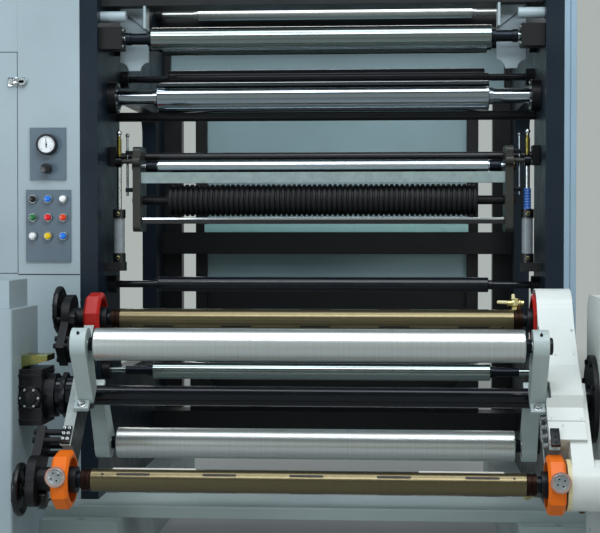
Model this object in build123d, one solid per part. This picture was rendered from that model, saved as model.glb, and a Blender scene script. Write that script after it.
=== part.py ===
from build123d import *
from math import cos, hypot, radians, sin
import os

os.makedirs("parts", exist_ok=True)

# Gravure press: turret winding unit in front of its roller frame.
# Millimetres. X runs across the web to the right, Y away from the operator, Z up.
# The origin is on the floor, at the middle of the four anchor bolts of the frame.

# Roller frame
wall_gap = 1440.0
wall_thickness = 58.0
frame_depth = 1400.0
frame_height = 2100.0
wall_corner = 60.0
window_from_front = 370.0
window_from_back = 260.0
window_bottom = 620.0
window_from_top = 510.0
window_corner = 90.0
foot_height = 202.0
foot_width = 246.0
foot_toe = 161.0
anchor_hole = 22.0
anchor_inset = 30.0
base_thickness = 38.0
base_ahead = 100.0
base_behind = 128.0
base_corner = 6.0

# Beams and panels of the frame
top_beam_height = 110.0
top_beam_depth = 120.0
front_beam_set_back = 60.0
front_beam_drop = 250.0
rear_beam_drop = 160.0
low_beam_height = 70.0
low_beam_bottom = 332.0
low_beam_from_back = 250.0
gusset_size = 190.0
gusset_thickness = 12.0
gusset_spread = 1150.0
hanger_width = 92.0
hanger_height = 74.0
hanger_plate = 8.0
hanger_depth = 60.0
hanger_from_wall = 52.0
spacer_radius = 18.0
spacer_length = 84.0
spacer_back = 60.0
spacer_drop = 285.0
tie_rod_radius = 16.0
tie_rod_back = 330.0
tie_rod_drop = 590.0
hanger_tail_out = 44.0
hanger_tail_width = 96.0
hanger_tail_drop = 205.0
hanger_tail_cut = 28.0
outer_post_width = 73.0
inner_post_width = 47.0
post_gap = 59.0
post_strip = 26.0
post_shoulder_drop = 400.0
post_depth = 60.0
cross_bar_bottom = 1023.0
cross_bar_height = 90.0
cross_bar_depth = 50.0
panel_thickness = 6.0
panel_bottom = 926.0
panel_drop = 212.0
edge_duct_width = 38.0
edge_duct_depth = 60.0
edge_duct_groove = 3.0

# Rollers that turn in the frame: set back from the front plane, below its top, radius
roller_face = 1104.0
chrome_back = 194.0
chrome_drop = 537.0
chrome_radius = 50.0
chrome_shaft = 25.0
chrome_bearing_radius = 54.0
chrome_bearing_width = 30.0
upper_back = 62.0
upper_drop = 358.0
upper_radius = 36.0
upper_shaft = 16.0
upper_block = 72.0
upper_block_width = 75.0
idler_shaft = 12.0
idler_bearing_radius = 30.0
idler_bearing_width = 26.0
thin_idler_back = 300.0
thin_idler_drop = 352.0
thin_idler_radius = 30.0
dark_idler_back = 420.0
dark_idler_drop = 451.0
dark_idler_radius = 32.0
black_idler_back = 190.0
black_idler_below_arm = 176.0
black_idler_radius = 25.0
low_idler_back = 80.0
low_idler_rise = 415.0
low_idler_radius = 28.0
far_idler_from_back = 250.0
far_idler_drop = 108.0
far_idler_radius = 25.0
shaft_end_gap = 4.0

# Swinging press arm with its two rollers and the two air cylinders
arm_pivot_back = 230.0
arm_pivot_drop = 733.0
arm_pivot_radius = 13.0
arm_plate = 26.0
arm_plate_from_wall = 90.0
arm_plate_depth = 118.0
arm_plate_margin = 29.0
arm_plate_foot = 27.0
arm_plate_ahead = 98.0
pivot_block = 64.0
press_alu_ahead = 40.0
press_alu_drop = 35.0
press_alu_radius = 22.0
press_alu_shaft = 11.0
press_rubber_ahead = 34.0
press_roller_gap = 38.5
press_rubber_radius = 53.5
press_rubber_face = 1030.0
press_rubber_shaft = 15.0
flat_bar_rise = 36.0
flat_bar_depth = 24.0
flat_bar_ahead = 88.0
knife_gap = 5.5
knife_bar_rise = 20.0
knife_bar_depth = 40.0
lever_length = 100.0
swing_range = 24.0
lever_pin_radius = 8.0
pivot_block_width = 22.0
cylinder_radius = 18.0
cylinder_cap_radius = 21.0
cylinder_cap_length = 29.0
cylinder_length = 175.0
cylinder_below_pin = 160.0
rod_radius = 8.0
rod_eye_width = 20.0
rod_eye_radius = 17.0
rod_slot_play = 4.0
rod_in_barrel = 60.0
rod_screw_radius = 6.0
rod_screw_length = 78.0
rod_ball_radius = 9.0

# Winding turret
turret_ahead = 440.0
turret_height = 631.0
arm_tilt = 45.0
air_orbit = 300.0
guide_orbit = 230.0
shaft_face = 1200.0
air_radius = 32.0
air_collar_radius = 29.0
air_collar_width = 28.0
journal_radius = 20.0
journal_width = 26.0
chuck_across = 152.0
chuck_width = 48.0
chuck_edge = 7.0
chuck_sides = 8
chuck_turn = 14.0
chuck_recess = 62.0
chuck_recess_depth = 30.0
chuck_socket_radius = 37.0
chuck_socket_ahead = 14.0
chuck_spindle = 22.0
chuck_spindle_length = 54.0
chuck_button_radius = 28.0
chuck_button_rise = 7.0
chuck_button_over = 12.0
chuck_face_gap = 6.0
turret_arm_inner = 1328.0
turret_arm_plate = 30.0
turret_arm_end = 112.0
chuck_clearance = 6.8
centre_tube_radius = 29.0
trunnion_radius = 40.0
trunnion_length = 90.0
hub_boss_radius = 56.0
hub_boss_width = 51.0
guide_radius = 46.0
guide_shaft = 14.0
guide_arm_width = 44.0
guide_arm_round = 46.0
guide_foot_width = 60.0
guide_foot_side = 45.0
guide_foot_thickness = 12.0
guide_foot_span = 42.0
guide_foot_lap = 12.0
guide_shaft_depth = 30.0
housing_plate = 25.0
housing_radius = 66.0
housing_sleeve = 34.0
housing_sleeve_length = 40.0
housing_foot = 145.0
housing_foot_width = 84.0
housing_stud = 9.0
housing_stud_inset = 16.0
housing_stud_pitch = 32.0
star_knob_radius = 23.0
star_knob_length = 20.0
star_knob_stem = 7.0
star_knob_stem_length = 8.0
star_knob_orbit = 54.0
front_knob_angle = 45.0
rear_knob_angle = 135.0
handwheel_out = 35.0
handwheel_boss = 48.0
handwheel_radius = 74.5
handwheel_rim = 9.5
handwheel_web = 8.0
handwheel_hub = 22.0
handwheel_hub_width = 26.0
handwheel_stem = 11.0
handwheel_standoff = 14.0
handwheel_socket = 20.0
cover_half = 80.0
cover_bulge_start = 60.0
cover_bulge_ridge = 70.0
cover_bulge_half = 105.0
cover_bulge_end = 95.0
cover_rear_outer = 767.0
cover_outer = 779.0
drum_outer = 800.0
drum_radius = 70.0
hood_inner = 662.0
hood_play = 5.3
hood_sheet = 3.0
cover_play = 1.0

# Stands of the turret
left_stand_inner = 843.0
left_stand_width = 260.0
right_stand_inner = 812.0
right_stand_width = 290.0
stand_depth = 300.0
left_stand_height = 888.0
right_stand_height = 926.0
right_stand_round = 60.0
stand_corner = 8.0
stand_flange = 20.0
stand_flange_reach = 45.0
stand_anchor_hole = 18.0
stand_box_width = 220.0
stand_box_depth = 200.0
stand_box_height = 82.0
gearbox_height = 162.0
gearbox_depth = 150.0
gearbox_nose = 64.0
gearbox_nose_width = 30.0
gearbox_ribs = 5
gearbox_rib_width = 7.0
gearbox_rib_rise = 8.0
bracket_sheet = 5.0
bracket_width = 90.0
bracket_reach = 76.0
bracket_lip = 34.0
bearing_flange_radius = 126.0
bearing_flange_width = 14.0

# Control column and electrical cabinet on the left
column_width = 204.0
cabinet_depth = 450.0
cabinet_width = 345.0
cabinet_wall = 8.0
door_bottom = 975.0
door_top = 1696.0
door_thickness = 20.0
door_gap = 2.0
door_hinge_radius = 7.0
door_pin_radius = 3.0
door_pin_length = 14.0
latch_width = 66.0
latch_height = 35.0
latch_thickness = 12.0
latch_base = 2.0
latch_drop = 80.0
gauge_plate_width = 118.0
gauge_plate_height = 169.0
gauge_plate_centre = 1365.0
gauge_across = 882.0
gauge_centre = 1394.0
gauge_radius = 34.0
gauge_depth = 24.0
regulator_centre = 1316.0
regulator_radius = 17.0
regulator_depth = 34.0
button_plate_width = 147.0
button_plate_height = 234.0
button_plate_centre = 1131.0
button_across = 881.0
button_pitch_x = 50.0
button_pitch_z = 60.0
button_radius = 14.5
button_depth = 22.0
instrument_plate = 6.0

# Fits
running_gap = 0.3
pin_clearance = 1.0

front = -frame_depth / 2
back = frame_depth / 2
wall_inner = wall_gap / 2
wall_outer = wall_inner + wall_thickness
foot_centre = wall_inner + wall_thickness / 2
base_top = foot_height + base_thickness
turret_y = front - turret_ahead
front_beam_bottom = frame_height - front_beam_drop
rear_beam_bottom = frame_height - rear_beam_drop
post_shoulder = frame_height - post_shoulder_drop
panel_half = wall_inner - outer_post_width - post_gap - inner_post_width
chrome_height = frame_height - chrome_drop
upper_height = frame_height - upper_drop
arm_pivot_height = frame_height - arm_pivot_drop
arm_plate_inner = wall_inner - arm_plate_from_wall - arm_plate
arm_plate_outer = wall_inner - arm_plate_from_wall
cylinder_across = (arm_plate_outer + wall_inner) / 2
arm_plate_top = arm_pivot_height + arm_plate_margin
arm_pivot_y = front + arm_pivot_back
arm_plate_y = arm_pivot_y - arm_plate_ahead
press_alu_y = arm_pivot_y - press_alu_ahead
press_alu_height = arm_pivot_height - press_alu_drop
press_rubber_y = arm_pivot_y - press_rubber_ahead
press_rubber_height = press_alu_height - press_alu_radius - press_roller_gap - press_rubber_radius
flat_bar_y = arm_pivot_y - flat_bar_ahead
flat_bar_top = press_alu_height - press_alu_radius
knife_bar_top = press_rubber_height - press_rubber_radius - knife_gap
arm_plate_bottom = knife_bar_top - knife_bar_rise - arm_plate_foot
arm_inner = turret_arm_inner / 2
arm_outer = arm_inner + turret_arm_plate
column_outer = wall_outer + column_width
cabinet_outer = column_outer + cabinet_width
lever_y = arm_pivot_y - lever_length * cos(radians(swing_range / 2))
lever_z = arm_pivot_height - lever_length * sin(radians(swing_range / 2))
cylinder_top = lever_z - cylinder_below_pin
cylinder_bottom = cylinder_top - cylinder_length
chuck_inner = shaft_face / 2 + air_collar_width + journal_width
chuck_outer = chuck_inner + chuck_width
chuck_button_outer = chuck_outer + chuck_button_over
chuck_sweep = hypot(chuck_across / 2 + chuck_button_rise, chuck_button_radius)
chuck_seat = chuck_outer + chuck_face_gap
turret_arm_reach = air_orbit - chuck_sweep - chuck_clearance
housing_inner = chuck_seat + housing_sleeve_length
housing_outer = housing_inner + housing_plate
chuck_facing = -90 - arm_tilt
sides = (-1, 1)


def rod_x(radius, x_low, x_high, y, z):
    """A round bar along X between two stations."""
    return Pos((x_low + x_high) / 2, y, z) * Rot(0, 90, 0) * Cylinder(radius, x_high - x_low)


def side_rod(side, radius, inner, outer, y, z):
    """A round bar along X on one side of the machine, measured outwards from its middle."""
    low, high = sorted((side * inner, side * outer))
    return rod_x(radius, low, high, y, z)


def block(x_low, x_high, y_low, y_high, z_low, z_high):
    """A rectangular block between its six faces."""
    centre = Pos((x_low + x_high) / 2, (y_low + y_high) / 2, (z_low + z_high) / 2)
    return centre * Box(x_high - x_low, y_high - y_low, z_high - z_low)


def side_block(side, inner, outer, y_low, y_high, z_low, z_high):
    """A block on one side of the machine, measured outwards from its middle."""
    low, high = sorted((side * inner, side * outer))
    return block(low, high, y_low, y_high, z_low, z_high)


def plate_x(outline, side, inner, thickness):
    """A plate across X from an outline drawn in the YZ plane."""
    low = min(side * inner, side * (inner + thickness))
    return Pos(low, 0, 0) * extrude(Plane.YZ * outline, thickness)


def on_turret(solid):
    """Carries a piece drawn with both air shafts on the Y axis to its place at rest."""
    return Pos(0, turret_y, turret_height) * Rot(arm_tilt, 0, 0) * solid


def both_stations(solid):
    """The same piece at both winding stations, half a turn apart."""
    return [on_turret(Rot(half_turn, 0, 0) * solid) for half_turn in (180, 0)]


def wallboard(side):
    outline = Pos(0, (frame_height + foot_height) / 2) * RectangleRounded(
        frame_depth, frame_height - foot_height, wall_corner)
    feet_line = Pos(0, foot_height + wall_corner) * Rectangle(frame_depth, 2 * wall_corner)
    window_top = frame_height - window_from_top
    window = Pos((window_from_front - window_from_back) / 2, (window_top + window_bottom) / 2)
    window *= RectangleRounded(frame_depth - window_from_front - window_from_back,
                               window_top - window_bottom, window_corner)
    return plate_x(outline + feet_line - window, side, wall_inner, wall_thickness)


def foot(side):
    toe_front = front - foot_toe
    body = side_block(side, foot_centre - foot_width / 2, foot_centre + foot_width / 2,
                      toe_front, -toe_front, 0, foot_height)
    for end in sides:
        hole = Pos(side * foot_centre, end * (back + foot_toe - anchor_inset), foot_height / 2)
        body -= hole * Cylinder(anchor_hole / 2, 2 * foot_height)
    return body


def base_plate():
    half = foot_centre + foot_width / 2
    plate = block(-half, half, front - base_ahead, front + base_behind, foot_height, base_top)
    edges = plate.edges().filter_by(Axis.X).sort_by(Axis.Z)[-2:]
    plate = fillet(edges, base_corner)
    for side in sides:
        plate -= side_block(side, wall_inner, wall_outer, front, back, foot_height, frame_height)
    return plate


def front_top_beam():
    y = front + front_beam_set_back
    return block(-wall_inner, wall_inner, y, y + top_beam_depth,
                 front_beam_bottom, front_beam_bottom + top_beam_height)


def rear_top_beam():
    return block(-wall_inner, wall_inner, back - post_depth - top_beam_depth, back - post_depth,
                 rear_beam_bottom, rear_beam_bottom + top_beam_height)


def rear_low_beam():
    """Cross beam with a triangular gusset standing on it near each end."""
    y = back - low_beam_from_back
    top = low_beam_bottom + low_beam_height
    pieces = [block(-wall_inner, wall_inner, y - top_beam_depth, y, low_beam_bottom, top)]
    for side in sides:
        outline = Polyline((0, 0), (0, gusset_size), (side * gusset_size, 0), close=True)
        gusset = extrude(Plane.XZ * make_face(outline), gusset_thickness)
        pieces.append(Pos(-side * gusset_spread / 2, y - top_beam_depth / 2, top) * gusset)
    return pieces


def beam_hanger(side):
    """A welded angle under the front beam, slanted outwards, and the waisted plate behind it."""
    outline = Polyline((0, 0), (0, -hanger_height), (side * hanger_width, 0), close=True)
    rib = extrude(Plane.XZ * make_face(outline), hanger_plate)
    cheek = Box(hanger_plate, hanger_depth, hanger_height, align=(Align.CENTER, Align.MAX, Align.MAX))
    tail = Pos(0, -hanger_tail_drop / 2) * Rectangle(hanger_tail_width, hanger_tail_drop)
    for end in sides:
        tail -= Pos(end * hanger_tail_width / 2, -hanger_tail_drop) * Circle(hanger_tail_cut)
    tail = Pos(side * hanger_tail_out, hanger_plate, 0) * extrude(Plane.XZ * tail, hanger_plate)
    across = wall_inner - hanger_from_wall - hanger_width
    y = front + front_beam_set_back + hanger_depth
    return Pos(side * across, y, front_beam_bottom) * (rib + cheek + tail)


def top_spacer(side):
    """A turned spacer on the inner face of a wallboard, under the front beam."""
    y = front + spacer_back
    return side_rod(side, spacer_radius, wall_inner - spacer_length, wall_inner, y,
                    frame_height - spacer_drop)


def rear_posts(side):
    """Two uprights with a gap between them; the outer one runs on beside the wide top of the panel."""
    front_face = back - post_depth
    outer_low = wall_inner - outer_post_width
    outer = side_block(side, outer_low, wall_inner, front_face, back, base_top, post_shoulder)
    outer += side_block(side, wall_inner - post_strip, wall_inner, front_face, back, post_shoulder,
                        rear_beam_bottom + top_beam_height)
    inner = side_block(side, panel_half, panel_half + inner_post_width, front_face, back, base_top,
                       post_shoulder)
    return [outer, inner]


def rear_sheet(half, bottom, top):
    y = back - post_depth / 2
    return block(-half, half, y - panel_thickness / 2, y + panel_thickness / 2, bottom, top)


def rear_panel():
    """Sheet between the inner uprights, wider above their tops."""
    return rear_sheet(panel_half, panel_bottom, post_shoulder) + rear_sheet(
        wall_inner - post_strip, post_shoulder, frame_height - panel_drop)


def rear_cross_bar():
    """Bar across the uprights from wallboard to wallboard."""
    face = back - post_depth
    return block(-wall_inner, wall_inner, face - cross_bar_depth, face, cross_bar_bottom,
                 cross_bar_bottom + cross_bar_height)


def edge_duct():
    """Two-part cable duct on the outer face of the right wallboard, along its front edge."""
    duct = block(wall_outer, wall_outer + edge_duct_width, front, front + edge_duct_depth,
                 base_top, frame_height)
    middle = wall_outer + edge_duct_width / 2
    groove = block(middle - edge_duct_groove / 2, middle + edge_duct_groove / 2,
                   front - edge_duct_groove, front + edge_duct_groove, base_top, frame_height)
    return duct - groove


def frame_roller(radius, shaft, set_back, height):
    """A web roller with its shaft, running in bearings on both wallboards."""
    y = front + set_back
    tip = wall_inner - shaft_end_gap
    barrel = rod_x(radius, -roller_face / 2, roller_face / 2, y, height)
    return barrel + rod_x(shaft, -tip, tip, y, height)


def round_bearing(side, radius, width, shaft, set_back, height):
    """A flange bearing on the inner face of a wallboard."""
    y = front + set_back
    ring = side_rod(side, radius, wall_inner - width, wall_inner, y, height)
    return ring - side_rod(side, shaft + running_gap, wall_inner - width - 1, wall_inner + 1, y, height)


def upper_bearing(side):
    """A square bearing block on the inner face of a wallboard."""
    y = front + upper_back
    half = upper_block / 2
    cube = side_block(side, wall_inner - upper_block_width, wall_inner, y - half, y + half,
                      upper_height - half, upper_height + half)
    bore = side_rod(side, upper_shaft + running_gap, wall_inner - upper_block_width - 1, wall_inner + 1,
                    y, upper_height)
    return cube - bore


idlers = {
    "thin_idler_roller": (thin_idler_radius, thin_idler_back, frame_height - thin_idler_drop),
    "dark_idler_roller": (dark_idler_radius, dark_idler_back, frame_height - dark_idler_drop),
    "far_idler_roller": (far_idler_radius, frame_depth - far_idler_from_back,
                         frame_height - far_idler_drop),
    "black_idler_roller": (black_idler_radius, black_idler_back,
                           arm_plate_bottom - black_idler_below_arm),
    "low_idler_roller": (low_idler_radius, low_idler_back, base_top + low_idler_rise),
}


def roller_bearings():
    """The bearings of all the rollers that turn in the frame."""
    bearings = []
    for side in sides:
        bearings.append(upper_bearing(side))
        bearings.append(round_bearing(side, chrome_bearing_radius, chrome_bearing_width, chrome_shaft,
                                      chrome_back, chrome_height))
        for radius, set_back, height in idlers.values():
            bearings.append(round_bearing(side, idler_bearing_radius, idler_bearing_width,
                                          idler_shaft, set_back, height))
    return bearings


def press_arm_plate(side):
    """Side plate of the press arm, with the lever pin that its air cylinder lifts."""
    middle_y = arm_plate_y + arm_plate_depth / 2
    body = Pos(middle_y, (arm_plate_top + arm_plate_bottom) / 2) * RectangleRounded(
        arm_plate_depth, arm_plate_top - arm_plate_bottom, rod_eye_radius)
    nose = Pos(lever_y, lever_z) * Circle(rod_eye_radius)
    nose += Pos((lever_y + middle_y) / 2, lever_z) * Rectangle(middle_y - lever_y, 2 * rod_eye_radius)
    holes = Pos(press_alu_y, press_alu_height) * Circle(press_alu_shaft + running_gap)
    holes += Pos(press_rubber_y, press_rubber_height) * Circle(press_rubber_shaft + running_gap)
    holes += Pos(arm_pivot_y, arm_pivot_height) * Circle(arm_pivot_radius)
    plate = plate_x(body + nose - holes, side, arm_plate_inner, arm_plate)
    pin_end = cylinder_across + rod_eye_width / 2
    return plate + side_rod(side, lever_pin_radius, arm_plate_outer, pin_end, lever_y, lever_z)


def press_arm_bars():
    """Pivot shaft, flat bar and knife bar that tie the two arm plates together."""
    inner = arm_plate_inner
    tip = wall_inner - shaft_end_gap
    pivot = rod_x(arm_pivot_radius, -tip, tip, arm_pivot_y, arm_pivot_height)
    flat = block(-inner, inner, flat_bar_y, flat_bar_y + flat_bar_depth,
                 flat_bar_top - flat_bar_rise, flat_bar_top)
    knife = block(-inner, inner, flat_bar_y, flat_bar_y + knife_bar_depth,
                  knife_bar_top - knife_bar_rise, knife_bar_top)
    return [pivot, flat, knife]


def pivot_bearing(side):
    y = arm_pivot_y
    half = pivot_block / 2
    inner = wall_inner - pivot_block_width
    body = side_block(side, inner, wall_inner, y - half, y + half, arm_pivot_height - half,
                      arm_pivot_height + half)
    return body - side_rod(side, arm_pivot_radius + running_gap, inner - 1, wall_inner + 1, y,
                           arm_pivot_height)


def arm_roller(radius, shaft, face, y, height):
    barrel = rod_x(radius, -face / 2, face / 2, y, height)
    return barrel + rod_x(shaft, -arm_plate_outer, arm_plate_outer, y, height)


def cylinder_barrel(side):
    """Round air cylinder with two caps on its wall bracket, and the bore that its rod slides in."""
    middle = (cylinder_top + cylinder_bottom) / 2
    axis = Pos(side * cylinder_across, lever_y, 0)
    barrel = axis * Pos(0, 0, middle) * Cylinder(cylinder_radius, cylinder_length)
    for height in (cylinder_top - cylinder_cap_length / 2, cylinder_bottom + cylinder_cap_length / 2):
        barrel += axis * Pos(0, 0, height) * Cylinder(cylinder_cap_radius, cylinder_cap_length)
    bracket = side_block(side, cylinder_across - cylinder_cap_radius, wall_inner,
                         lever_y - cylinder_cap_radius, lever_y + cylinder_cap_radius,
                         cylinder_bottom - cylinder_cap_length, cylinder_bottom)
    bore = axis * Pos(0, 0, cylinder_top) * Cylinder(rod_radius + running_gap,
                                                     2 * (rod_in_barrel + lever_length))
    return barrel + bracket - bore


def cylinder_rod(side):
    """Rod with a slotted eye round the lever pin of the press arm, and a ball-headed screw on top."""
    eye_outline = Circle(rod_eye_radius) - SlotCenterToCenter(
        2 * rod_slot_play, 2 * (lever_pin_radius + pin_clearance))
    low = cylinder_across - rod_eye_width / 2
    eye = Pos(0, lever_y, lever_z) * plate_x(eye_outline, side, low, rod_eye_width)
    bottom = cylinder_top - rod_in_barrel
    top = lever_z - rod_eye_radius + pin_clearance
    stem = Pos(side * cylinder_across, lever_y, (bottom + top) / 2) * Cylinder(rod_radius, top - bottom)
    screw_top = lever_z + rod_eye_radius - pin_clearance + rod_screw_length
    screw = Pos(side * cylinder_across, lever_y, screw_top - rod_screw_length / 2) * Cylinder(
        rod_screw_radius, rod_screw_length)
    ball = Pos(side * cylinder_across, lever_y, screw_top) * Sphere(rod_ball_radius)
    return eye + stem + screw + ball


def turret_arm_outline():
    """A bar hollowed at each end round the chuck that turns there."""
    bar = Rectangle(2 * air_orbit, turret_arm_end)
    for side in sides:
        bar -= Pos(side * air_orbit, 0) * Circle(chuck_sweep + chuck_clearance)
    return bar


def turret_arm(side):
    outline = turret_arm_outline() - Circle(trunnion_radius + running_gap)
    return on_turret(plate_x(outline, side, arm_inner, turret_arm_plate))


def turret_shaft():
    """Centre tube with the trunnions that carry the turret in its stands."""
    tube = rod_x(centre_tube_radius, -arm_inner, arm_inner, 0, 0)
    tips = {-1: left_stand_inner - bearing_flange_width, 1: right_stand_inner + trunnion_length}
    for side in sides:
        tube += side_rod(side, trunnion_radius, arm_inner - guide_arm_width / 2, tips[side], 0, 0)
    tube += side_rod(-1, hub_boss_radius, arm_outer, arm_outer + hub_boss_width, 0, 0)
    return on_turret(tube)


def guide_arm(side):
    """Arm that carries one end of a guide roller, on a foot that is bolted to the turret arm's edge."""
    edge = turret_arm_end / 2
    foot_low = -guide_foot_side - guide_foot_width / 2
    foot_high = -guide_foot_side + guide_foot_width / 2
    web = Polyline((foot_low, edge), (-guide_arm_round, guide_orbit), (guide_arm_round, guide_orbit),
                   (foot_high, edge), close=True)
    outline = Pos(0, guide_orbit) * Circle(guide_arm_round) + make_face(web)
    arm = plate_x(outline, side, arm_inner - guide_arm_width, guide_arm_width)
    foot_outline = Pos(-guide_foot_side, edge + guide_foot_thickness / 2) * Rectangle(
        guide_foot_width, guide_foot_thickness)
    arm += plate_x(foot_outline, side, arm_inner + guide_foot_lap - guide_foot_span, guide_foot_span)
    bore = side_rod(side, guide_shaft + running_gap, arm_inner - guide_arm_width - 1,
                    arm_inner - guide_arm_width + guide_shaft_depth + 1, 0, guide_orbit)
    return arm - bore


def guide_arms():
    arms = []
    for side in sides:
        arms += both_stations(guide_arm(side))
    return arms


def guide_roller():
    tip = arm_inner - guide_arm_width + guide_shaft_depth
    barrel = rod_x(guide_radius, -shaft_face / 2, shaft_face / 2, 0, guide_orbit)
    return barrel + rod_x(guide_shaft, -tip, tip, 0, guide_orbit)


def air_shaft():
    """Expanding core shaft with its end collars and journals."""
    half = shaft_face / 2
    shaft = rod_x(air_radius, -half, half, air_orbit, 0)
    collar = half + air_collar_width
    shaft += rod_x(air_collar_radius, -collar, collar, air_orbit, 0)
    tip = collar + journal_width + chuck_recess_depth
    return shaft + rod_x(journal_radius, -tip, tip, air_orbit, 0)


def safety_chuck(side):
    """Lobed chuck flange, open towards the shaft, with the round lock button on its rim."""
    outline = RegularPolygon(chuck_across / 2, chuck_sides, major_radius=False)
    body = plate_x(outline, side, chuck_inner, chuck_width)
    rims = body.edges().filter_by(Axis.X, reverse=True)
    body = chamfer(rims, chuck_edge)
    body -= side_rod(side, chuck_recess, chuck_inner - 1, chuck_inner + chuck_recess_depth, 0, 0)
    button = Pos(side * (chuck_button_outer - chuck_button_radius), 0, 0) * Rot(chuck_facing, 0, 0)
    button *= Pos(0, 0, chuck_across / 2 + chuck_button_rise / 2) * Cylinder(
        chuck_button_radius, chuck_button_rise)
    return Pos(0, air_orbit, 0) * Rot(-chuck_turn, 0, 0) * (body + button)


def chuck_axle(side):
    """The spindle behind a chuck flange, which turns in the housing or the gear cover."""
    return side_rod(side, chuck_spindle, chuck_outer, chuck_outer + chuck_spindle_length, air_orbit, 0)


def chuck_socket(side):
    """The socket in the recess of a chuck that takes the journal of the air shaft."""
    floor = chuck_inner + chuck_recess_depth
    inner = chuck_inner - chuck_socket_ahead
    socket = side_rod(side, chuck_socket_radius, inner, floor, air_orbit, 0)
    return socket - side_rod(side, journal_radius, inner - 1, floor + 1, air_orbit, 0)


def spindle_bore(side, station):
    """The bore that the spindle of a chuck turns in."""
    return side_rod(side, chuck_spindle + running_gap, chuck_seat - 1,
                    chuck_outer + chuck_spindle_length + running_gap, station * air_orbit, 0)


def chuck_housing(knob_angle):
    """Bearing plate on four studs outside the left turret arm, with the chuck's sleeve and a star knob."""
    outline = Pos(air_orbit, 0) * Circle(housing_radius)
    outline += Pos(air_orbit + handwheel_out, 0) * Circle(handwheel_boss)
    outline += Pos((housing_foot + air_orbit) / 2, 0) * Rectangle(air_orbit - housing_foot,
                                                                   housing_foot_width)
    housing = plate_x(outline, -1, housing_inner, housing_plate)
    housing += side_rod(-1, housing_sleeve, chuck_seat, housing_inner, air_orbit, 0)
    for along in (housing_foot + housing_stud_inset, turret_arm_reach - housing_stud_inset):
        for across in sides:
            housing += side_rod(-1, housing_stud, arm_outer, housing_inner, along,
                                across * housing_stud_pitch)
    knob_y = air_orbit + star_knob_orbit * cos(radians(knob_angle))
    knob_z = star_knob_orbit * sin(radians(knob_angle))
    housing += side_rod(-1, star_knob_radius, housing_inner - star_knob_length, housing_inner,
                        knob_y, knob_z)
    housing += side_rod(-1, star_knob_stem, housing_outer, housing_outer + star_knob_stem_length,
                        knob_y, knob_z)
    housing -= side_rod(-1, handwheel_stem + running_gap, housing_outer - handwheel_socket - 1,
                        housing_outer + 1, air_orbit + handwheel_out, 0)
    return housing - spindle_bore(-1, 1)


def chuck_housings():
    front_housing = both_stations(chuck_housing(front_knob_angle))[0]
    rear_housing = both_stations(chuck_housing(rear_knob_angle))[1]
    return [front_housing, rear_housing]


def handwheel():
    """Dished handwheel with a round rim on its stem."""
    inner = housing_outer + handwheel_standoff
    ring = Pos(handwheel_radius - handwheel_rim, handwheel_rim) * Circle(handwheel_rim)
    web = Pos(handwheel_radius / 2, handwheel_rim) * Rectangle(handwheel_radius - handwheel_rim,
                                                               handwheel_web)
    half_hub = handwheel_hub_width / 2
    hub = Pos(handwheel_hub / 2, half_hub) * Rectangle(handwheel_hub, handwheel_hub_width)
    wheel = revolve(Plane.XZ * (ring + web + hub), Axis.Z)
    wheel = Pos(-inner, air_orbit + handwheel_out, 0) * Rot(0, -90, 0) * wheel
    stem = side_rod(-1, handwheel_stem, inner - handwheel_standoff - handwheel_socket, inner + half_hub,
                    air_orbit + handwheel_out, 0)
    return wheel + stem


def cover_neck():
    """Outline of the gear cover between the stations, with the sloping bulge over its middle."""
    near = [(turret_arm_reach, cover_half), (cover_bulge_start, cover_half),
            (-cover_bulge_ridge, cover_bulge_half), (-cover_bulge_end, cover_half),
            (-turret_arm_reach, cover_half)]
    far = [(along, -across) for along, across in reversed(near)]
    return make_face(Polyline(*near, *far, close=True))


def cover_hood():
    """Outline of the end of the gear cover that stands round the rear chuck."""
    radius = chuck_sweep + hood_play + hood_sheet
    shoulder = Polyline((turret_arm_reach, cover_half), (air_orbit, radius), (air_orbit, -radius),
                        (turret_arm_reach, -cover_half), close=True)
    return Pos(air_orbit, 0) * Circle(radius) + make_face(shoulder)


def turret_gear_cover():
    """White cover of the drive on the right turret arm: skirt round the arm, hood and front drum."""
    neck = cover_neck()
    arm_slot = offset(turret_arm_outline(), cover_play)
    button_end = chuck_button_outer + chuck_face_gap
    cover = plate_x(neck - arm_slot, 1, arm_inner, turret_arm_plate)
    for turn in sides:
        notch = Pos(-turn * guide_foot_side, turn * cover_bulge_half) * Rectangle(
            guide_foot_width + 2 * cover_play, 2 * cover_bulge_half - turret_arm_end)
        cover -= plate_x(notch, 1, arm_inner - 1, guide_foot_lap + cover_play + 1)
    cover += plate_x(neck, 1, arm_outer, button_end - arm_outer)
    hood = cover_hood() - Pos(air_orbit, 0) * Circle(chuck_sweep + hood_play)
    hood -= Pos(turret_arm_reach, 0) * Rectangle(turret_arm_end, turret_arm_end + 2 * cover_play)
    cover += plate_x(hood, 1, hood_inner, button_end - hood_inner)
    rear_end = neck + cover_hood()
    front_end = Pos(-air_orbit / 2, 0) * Rectangle(air_orbit, 2 * drum_radius)
    front_end += Pos(-air_orbit, 0) * Circle(drum_radius)
    cover += plate_x(rear_end, 1, button_end, cover_rear_outer - button_end)
    cover += plate_x(front_end, 1, button_end, cover_outer - button_end)
    for station in sides:
        cover += side_rod(1, drum_radius, chuck_seat, button_end, station * air_orbit, 0)
    cover += side_rod(1, drum_radius, cover_outer, drum_outer, -air_orbit, 0)
    for station in sides:
        cover -= spindle_bore(1, station)
    return on_turret(cover - side_rod(1, trunnion_radius + running_gap, arm_inner, drum_outer, 0, 0))


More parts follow.
